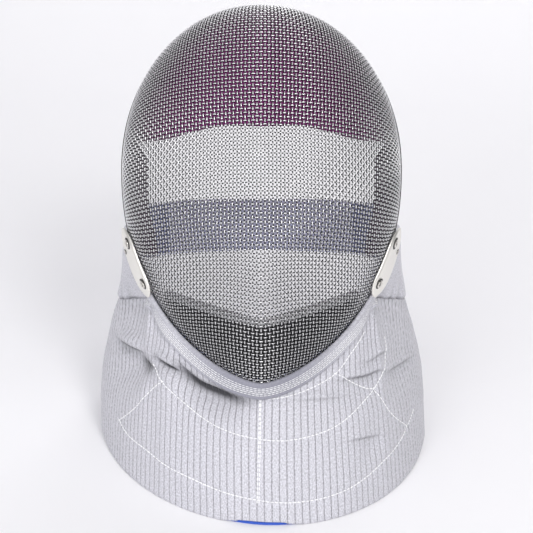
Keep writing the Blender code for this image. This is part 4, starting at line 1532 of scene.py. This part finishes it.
def bib_relief(middle):
    """How far the outer face swells or sinks at creases and along sewn lines, and the painted shade in and
    below its creases.
    """
    shape = middle.shape[:2]
    relief, dark = np.zeros(shape), np.zeros(shape)
    flat = middle.reshape(-1, 3)
    fall = np.gradient(middle, axis=1).reshape(-1, 3)
    fall /= np.linalg.norm(fall, axis=1, keepdims=True)
    for places, depth, swell, width, breadth in CREASES:
        path = [bib_point(p.x, p.y) for p in smooth_path(places, 14)]
        line = np.array(path)
        ends = np.concatenate([[0], np.cumsum(np.linalg.norm(np.diff(line, axis=0), axis=1))])
        ends /= ends[-1]
        near = np.linalg.norm(flat[:, None] - line[None], axis=2)
        index = near.argmin(axis=1)
        gap = flat - line[index]
        below = (gap * fall).sum(axis=1)
        aside = np.sqrt(np.maximum((gap**2).sum(axis=1) - below**2, 0))
        fade = np.sin(np.pi * np.clip(ends[index], 0.03, 0.97)) ** 0.6
        fade = fade * np.exp(-((aside / CREASE_FADE) ** 2))
        step = 1 / (1 + np.exp(-np.clip(below / CREASE_SHARPNESS, -40, 40)))
        drop = depth * step * np.exp(-np.maximum(below, 0) / width)
        rise = swell * (1 - step) * np.exp(-(((below + width * 0.35) / (width * 0.6)) ** 2))
        relief += ((rise - drop) * fade).reshape(shape)
        # Painted shade: a dark line along each crease and a softer pocket below it.
        shade = np.exp(-(((below - breadth * 0.5) / breadth) ** 2)) * 0.9
        shade += 0.42 * step * np.exp(-below.clip(0) / (width * 0.55))
        dark = np.maximum(dark, (shade * fade * min(1.0, depth / 0.0032)).reshape(shape))
    for places in SEAMS:
        line = np.array([bib_point(p.x, p.y) for p in smooth_path(places, 24)])
        low, high = line.min(axis=0) - 0.006, line.max(axis=0) + 0.006
        close = np.flatnonzero(((flat > low) & (flat < high)).all(axis=1))
        near = np.linalg.norm(flat[close][:, None] - line[None], axis=2).min(axis=1)
        dent = relief.reshape(-1)
        dent[close] -= SEAM_DENT * np.exp(-((near / SEAM_WIDTH) ** 2))
    ripple = np.array([noise.noise(Vector(p) * 30) + 0.5 * noise.noise(Vector(p) * 75) for p in flat])
    relief += BIB_RIPPLE * ripple.reshape(shape)
    relief[:, :2] *= 0.3
    return np.maximum(relief, -BIB_WALL * 0.93), dark


class MASK_OT_bib(MaskOperator, bpy.types.Operator):
    """Shapes the padded ribbed bib with its creases, sewn lines and lining"""

    bl_idname = "mask.bib"
    bl_label = "Bib"

    def make(self, context):
        middle, normals, sheet_u, sheet_v = bib_surface()
        relief, dark = bib_relief(middle)
        outer = middle + normals * (BIB_WALL / 2 + relief)[..., None]
        inner = middle - normals * BIB_WALL / 2
        # The hem's upright band
        alongs = np.linspace(-1, 1, BIB_COLUMNS + 1)
        lift = np.array([HEM_LIFT * max(0.0, 1 - (a / JAW_SHARE * 3) ** 2) for a in alongs])
        level = np.array([1, 1, 0])
        foot = middle[:, -1] * level + UP * lift[:, None]
        out = normals[:, -1] * level
        out /= np.linalg.norm(out, axis=1, keepdims=True)
        raised = np.array([0, 0, HEM_CLEARANCE])
        foot_outer = foot + out * BIB_WALL / 2 + raised + UP * lift[:, None] * 0.6
        foot_inner = foot - out * BIB_WALL / 2 + raised + UP * lift[:, None] * 0.6
        outer = np.concatenate([outer, foot_outer[:, None]], axis=1)
        inner = np.concatenate([inner, foot_inner[:, None]], axis=1)
        sheet_u = np.concatenate([sheet_u, sheet_u[:, -1:]], axis=1)
        sheet_v = np.concatenate([sheet_v, sheet_v[:, -1:] + HEM_BAND], axis=1)
        dark = np.concatenate([dark, dark[:, -1:]], axis=1)
        ribbed = material_of("ribbed_lame")
        piece = cloth_piece("bib_cloth", outer, inner, ribbed, sheet_u=sheet_u, sheet_v=sheet_v, tint=dark)
        declare_sheet(middle)
        place_piece(piece, "lame_cloth", "bib")

        sew("bib_stitches", [[self.on_cloth(p.x, p.y, outer) for p in smooth_path(s, 24)] for s in SEAMS])

        inset = BIB_WALL / 2 + 2 * GAP + LINING_WALL / 2
        skip = BIB_ROWS // 9
        lining_middle = middle[::2, skip:] - normals[::2, skip:] * inset
        tuck = inset - (inset - 0.0002) * (lift[::2, None] / HEM_LIFT) ** 0.5
        low = foot[::2] * level - out[::2] * tuck + np.array([0, 0, LINING_CLEARANCE])
        lining_middle = np.concatenate([lining_middle, low[:, None]], axis=1)
        lining_normals = np.concatenate([normals[::2, skip:], out[::2, None]], axis=1) * LINING_WALL / 2
        lining = cloth_piece(
            "lining_cloth",
            lining_middle + lining_normals,
            lining_middle - lining_normals,
            material_of("blue_lining"),
        )
        declare_sheet(lining_middle)
        place_piece(lining, "lining_cloth", "bib_lining")

    @staticmethod
    def on_cloth(along, down, outer):
        """Point just proud of the bib's outer face."""
        u, v = (along + 1) / 2 * BIB_COLUMNS, down * BIB_ROWS
        i, j = min(int(u), BIB_COLUMNS - 1), min(int(v), BIB_ROWS - 1)
        s, t = u - i, v - j
        edge = [blend(outer[i + k, j], outer[i + k, j + 1], t) for k in (0, 1)]
        point = blend(edge[0], edge[1], s)
        normal = np.cross(outer[i, j + 1] - outer[i, j], outer[i + 1, j] - outer[i, j])
        normal /= np.linalg.norm(normal)
        return point + normal * (THREAD_STAND if normal[1] < 0 or abs(point[0]) > 0.09 else -THREAD_STAND)


class MASK_OT_chin_trim(MaskOperator, bpy.types.Operator):
    """Shapes the stitched band between the mesh and the bib"""

    bl_idname = "mask.chin_trim"
    bl_label = "Chin trim"

    def section(self, along):
        angle = math.pi - (math.pi - FLAP_TO) * along / JAW_SHARE
        step = 0.01
        top = bib_point(along, 0)
        fall = (bib_point(along, step) - top).normalized()
        run = bib_point(along + step, 0) - bib_point(along - step, 0)
        stand_off = run.cross(-fall).normalized() * (BIB_WALL / 2 + GAP + TRIM_WALL / 2)
        share = share_clear_of_rim(angle, TRIM_ABOVE)
        upper = FRAME @ dome_layer(angle, share, -(MESH_WALL + 2 * GAP + TRIM_WALL / 2))[0]
        return top + fall * TRIM_BELOW + stand_off, top + stand_off, upper

    def make(self, context):
        columns, rows = 240, 20
        end = JAW_SHARE * TRIM_TUCK
        grid = []
        for i in range(columns + 1):
            lower, middle, upper = self.section(blend(-end, end, i / columns))
            control = middle * 2 - (lower + upper) / 2
            control = middle.lerp(control, TRIM_ROUNDING)
            grid.append([
                lower * (1 - v) ** 2 + control * 2 * v * (1 - v) + upper * v**2
                for v in (j / rows for j in range(rows + 1))
            ])
        middle = np.array(grid)
        normals = grid_normals(middle)
        if normals[columns // 2, rows // 2, 1] > 0:
            normals = -normals
        across = np.linspace(0, 1, rows + 1)
        relief = np.zeros(rows + 1)
        for seam in TRIM_SEAMS:
            relief -= TRIM_SEAM_DENT * np.exp(-(((across - seam) / TRIM_SEAM_SHARE) ** 2))
        outer = middle + normals * (TRIM_WALL / 2 + relief)[None, :, None]
        inner = middle - normals * TRIM_WALL / 2
        piece = cloth_piece("trim_band", outer, inner, material_of("stitched_band"))
        declare_sheet(middle)
        place_piece(piece, "lame_cloth", "chin_trim")
        chains = []
        for seam in TRIM_SEAMS:
            row = seam * rows
            j = int(row)
            chains.append(blend(outer[:, j], outer[:, j + 1], row - j) + normals[:, j] * 0.0001)
        sew("trim_stitches", chains, 0.9, 0.6)


def pad_piece(name, material, thickness, first, last, shares, columns, rows):
    """Crowned pad against the inside of the dome, from one angle to another."""
    outer, inner = np.zeros((columns + 1, rows + 1, 3)), np.zeros((columns + 1, rows + 1, 3))
    for i in range(columns + 1):
        u = i / columns
        angle = blend(first, last, u)
        low, high = shares(angle)
        for j in range(rows + 1):
            v = j / rows
            point, inward = dome_layer(angle, blend(low, high, v), PAD_CLEARANCE)
            edge = (1 - abs(2 * u - 1) ** 10) * (1 - abs(2 * v - 1) ** 5)
            crown = thickness * (0.30 + 0.70 * max(edge, 0.0) ** 0.5)
            crown *= 1 + 0.05 * noise.noise(point * 60)
            margin = (thickness - crown) * 0.35 * (1 - max(edge, 0.0) ** 0.5)
            outer[i, j] = FRAME @ (point + inward * margin)
            inner[i, j] = FRAME @ (point + inward * (margin + crown))
    piece = cloth_piece(name, outer, inner, material)
    return piece


class MASK_OT_pads(MaskOperator, bpy.types.Operator):
    """Shapes the crown, cheek and chin pads inside the dome"""

    bl_idname = "mask.pads"
    bl_label = "Pads"

    def crown_shares(self, angle):
        arch = CROWN_PAD_ARCH * abs(math.sin(angle) / math.sin(CROWN_PAD_END)) ** CROWN_PAD_ARCH_POWER
        return share_at_height(angle, CROWN_PAD_EDGE - arch), PAD_RIM_SHARE

    def chin_shares(self, angle):
        rise = CHIN_PAD_RISE * (math.sin(angle) / math.sin(CHIN_PAD_END)) ** 2
        return share_at_height(angle, CHIN_PAD_EDGE + rise), PAD_RIM_SHARE

    def make(self, context):
        plum = material_of("plum_brushed")
        crown = pad_piece(
            "crown_padding", plum, CROWN_PAD_THICKNESS, -CROWN_PAD_END, CROWN_PAD_END,
            self.crown_shares, 96, 30,
        )
        place_piece(crown, "plum_padding", "crown_pad")
        for name, side in (("left", -1), ("right", 1)):
            cheek = pad_piece(
                f"cheek_padding_{name}", material_of("shaded_plum_brushed"), CHEEK_PAD_THICKNESS,
                side * CHEEK_PAD_FROM, side * CHEEK_PAD_TO, lambda angle: CHEEK_PAD_SHARES, 44, 24,
            )
            place_piece(cheek, "plum_padding", f"cheek_pad_{name}")
        chin = pad_piece(
            "chin_padding", material_of("black_brushed"), CHIN_PAD_THICKNESS, CHIN_PAD_END,
            math.tau - CHIN_PAD_END, self.chin_shares, 80, 26,
        )
        place_piece(chin, "black_padding", "chin_pad")

        def edge_of(angle):
            return dome_layer(angle, self.chin_shares(angle)[0], PAD_CLEARANCE + CHIN_PAD_THICKNESS / 2)

        columns, turns = 90, 14
        grid = []
        for i in range(columns + 1):
            angle = blend(CHIN_PAD_END, math.tau - CHIN_PAD_END, i / columns)
            edge, inward = edge_of(angle)
            run = (edge_of(angle + 0.02)[0] - edge_of(angle - 0.02)[0]).normalized()
            upward = inward.cross(run).normalized()
            if upward.z < 0:
                upward.negate()
            centre = edge + upward * (BINDING / 2 + 2 * GAP)
            grid.append([
                FRAME @ (centre + (upward * math.cos(t) + inward * math.sin(t)) * BINDING * BINDING_ROUND)
                for t in (
                    math.pi * blend(-BINDING_WRAP, BINDING_WRAP, j / turns) for j in range(turns + 1)
                )
            ])
        middle = np.array(grid)
        binding = even_piece("chin_binding", middle, BINDING_CLOTH, "grey_binding_painted_light")
        declare_sheet(middle)
        place_piece(binding, "binding_cloth", "chin_pad_binding")


class MASK_OT_back_strap(MaskOperator, bpy.types.Operator):
    """Shapes the elastic strap behind the head, with its darker sewn ends"""

    bl_idname = "mask.back_strap"
    bl_label = "Back strap"

    def make(self, context):
        share = STRAP_FRONT / REAR_DEPTH_SIDE
        half_span = rear_surface(REAR_END, share).x - MESH_WALL / 2 - 2 * GAP - STRAP_WALL / 2

        def place(u, v):
            turn = math.pi * u
            height = STRAP_HEIGHT + STRAP_WIDTH * (v - 0.5)
            back = STRAP_FRONT + STRAP_REACH * math.sin(turn)
            return FRAME @ Vector((-half_span * math.cos(turn), back, height))

        middle = grid_points(120, 24, place)
        normals = grid_normals(middle)
        edge = 1 - np.abs(np.linspace(-1, 1, 25)) ** 8 * 0.35
        ridge = STRAP_RIDGE * np.sin(np.linspace(0, 1, 121) * 480)[:, None]
        half = (STRAP_WALL * STRAP_FLATNESS * edge[None] + ridge)[..., None]
        webbing = material_of("blue_webbing_painted_light")
        strap = cloth_piece("strap_webbing", middle + normals * half, middle - normals * half, webbing)
        declare_sheet(middle)
        place_piece(strap, "strap_webbing", "back_strap")
        for name, first, last in (("left", 2, 25), ("right", 95, 118)):
            patch = middle[first:last, 1:-1]
            lift = normals[first:last, 1:-1]
            sign = -1 if (lift[..., 1].mean() > 0) else 1
            near = patch + lift * sign * STRAP_END_STAND
            outer, inner = near + lift * sign * 0.0005, near - lift * sign * 0.0002
            tab = cloth_piece(f"strap_end_{name}", outer, inner, material_of("navy_webbing"))
            declare_sheet(patch)
            place_piece(tab, "strap_webbing")


SWEEP_REACH = 3.0
SWEEP_TURN = 0.80
SWEEP_RADIUS = 0.5
SWEEP_HALF = 4.0
SWEEP_DROP = 0.0002

# Each light's name, place, aim, size, power and colour.
LIGHTS = (
    ("key_light", (0.52, -1.25, 1.18), (0, 0, 0.12), 0.5, 11.0, (1.0, 0.99, 0.985)),
    ("fill_light", (-0.66, -1.26, 0.62), (0, 0, 0.12), 0.8, 5.5, (0.97, 0.975, 1.0)),
    ("backdrop_light", (0.5, 1.15, 1.5), (0, 1.35, 0.45), 0.8, 4.5, (0.99, 0.985, 1.0)),
)


class MASK_OT_stage(MaskOperator, bpy.types.Operator):
    """Sets the pale floor, the soft lights and the camera"""

    bl_idname = "mask.stage"
    bl_label = "Stage"

    def make(self, context):
        scene = context.scene
        profile = [(-SWEEP_REACH, 0.0), (SWEEP_TURN, 0.0)]
        for k in range(1, 13):
            turn = math.pi / 2 * k / 12
            rise = SWEEP_RADIUS * (1 - math.cos(turn))
            profile.append((SWEEP_TURN + SWEEP_RADIUS * math.sin(turn), rise))
        profile.append((SWEEP_TURN + SWEEP_RADIUS, SWEEP_REACH))
        mesh = bpy.data.meshes.new("studio_sweep")
        points = [(x, y, z - SWEEP_DROP) for y, z in profile for x in (-SWEEP_HALF, SWEEP_HALF)]
        faces = [(2 * k, 2 * k + 1, 2 * k + 3, 2 * k + 2) for k in range(len(profile) - 1)]
        mesh.from_pydata(points, [], faces)
        mesh.shade_smooth()
        mesh.materials.append(material_of("studio_floor"))
        floor = link(bpy.data.objects.new("studio_sweep", mesh))

        world = bpy.data.worlds.new("studio_air")
        scene.world = world
        world.use_nodes = True
        graph = Graph(world.node_tree)
        sky = world.node_tree.nodes["Background"]
        place = graph.add("ShaderNodeTexCoord", output=0)
        across, ahead, up = graph.split(place)
        bright = graph.add(
            "ShaderNodeMapRange",
            {"interpolation_type": "SMOOTHSTEP"},
            Value=up * 0.60 - ahead * 0.74 - across * 0.18,
            From_Min=0.05,
            From_Max=0.80,
            To_Min=0.0,
            To_Max=1.0,
        )
        graph.put(sky.inputs["Color"], graph.mix(bright, colour(0.10, 0.10, 0.105), colour(0.98, 0.98, 1.0)))
        sky.inputs["Strength"].default_value = 0.82

        for name, place, aim, size, power, tint in LIGHTS:
            light = bpy.data.lights.new(name, "AREA")
            light.shape = "DISK"
            light.size = size
            light.energy = power
            light.color = tint
            lamp = link(bpy.data.objects.new(name, light))
            lamp.location = place
            lamp.rotation_euler = (Vector(aim) - Vector(place)).to_track_quat("-Z", "Y").to_euler()

        camera_data = bpy.data.cameras.new("photo_camera")
        camera_data.sensor_width = 36
        camera_data.lens = PHOTO_LENS
        camera = link(bpy.data.objects.new("photo_camera", camera_data))
        away = Vector((0, -math.cos(PHOTO_ELEVATION), math.sin(PHOTO_ELEVATION)))
        camera.location = PHOTO_TARGET + away * PHOTO_DISTANCE
        camera.rotation_euler = (-away).to_track_quat("-Z", "Y").to_euler()
        scene.camera = camera
        scene.view_settings.view_transform = "Standard"
        scene.view_settings.look = "None"
        scene.view_settings.exposure = 0.0


class MASK_PT_sidebar(bpy.types.Panel):
    bl_label = "Fencing mask"
    bl_idname = "MASK_PT_sidebar"
    bl_space_type = "VIEW_3D"
    bl_region_type = "UI"
    bl_category = "Mask"

    def draw(self, context):
        layout = self.layout
        for group in (context.scene.mask_sizes, context.scene.mask_looks):
            for name in group.bl_rna.properties.keys():
                if name not in {"rna_type", "name"}:
                    layout.prop(group, name)
        for operator in OPERATORS:
            layout.operator(operator.bl_idname)


OPERATORS = (
    MASK_OT_face_wires,
    MASK_OT_rear_wires,
    MASK_OT_rim,
    MASK_OT_rear_edging,
    MASK_OT_side_plates,
    MASK_OT_ear_flaps,
    MASK_OT_bib,
    MASK_OT_chin_trim,
    MASK_OT_pads,
    MASK_OT_back_strap,
    MASK_OT_stage,
)
CLASSES = (MaskSizes, MaskLooks, *OPERATORS, MASK_PT_sidebar)


def register():
    for each in CLASSES:
        bpy.utils.register_class(each)
    bpy.types.Scene.mask_sizes = PointerProperty(type=MaskSizes)
    bpy.types.Scene.mask_looks = PointerProperty(type=MaskLooks)


def unregister():
    del bpy.types.Scene.mask_looks
    del bpy.types.Scene.mask_sizes
    for each in reversed(CLASSES):
        bpy.utils.unregister_class(each)


def main():
    register()
    for operator in OPERATORS:
        family, name = operator.bl_idname.split(".")
        getattr(getattr(bpy.ops, family), name)()


if __name__ == "__main__":
    main()
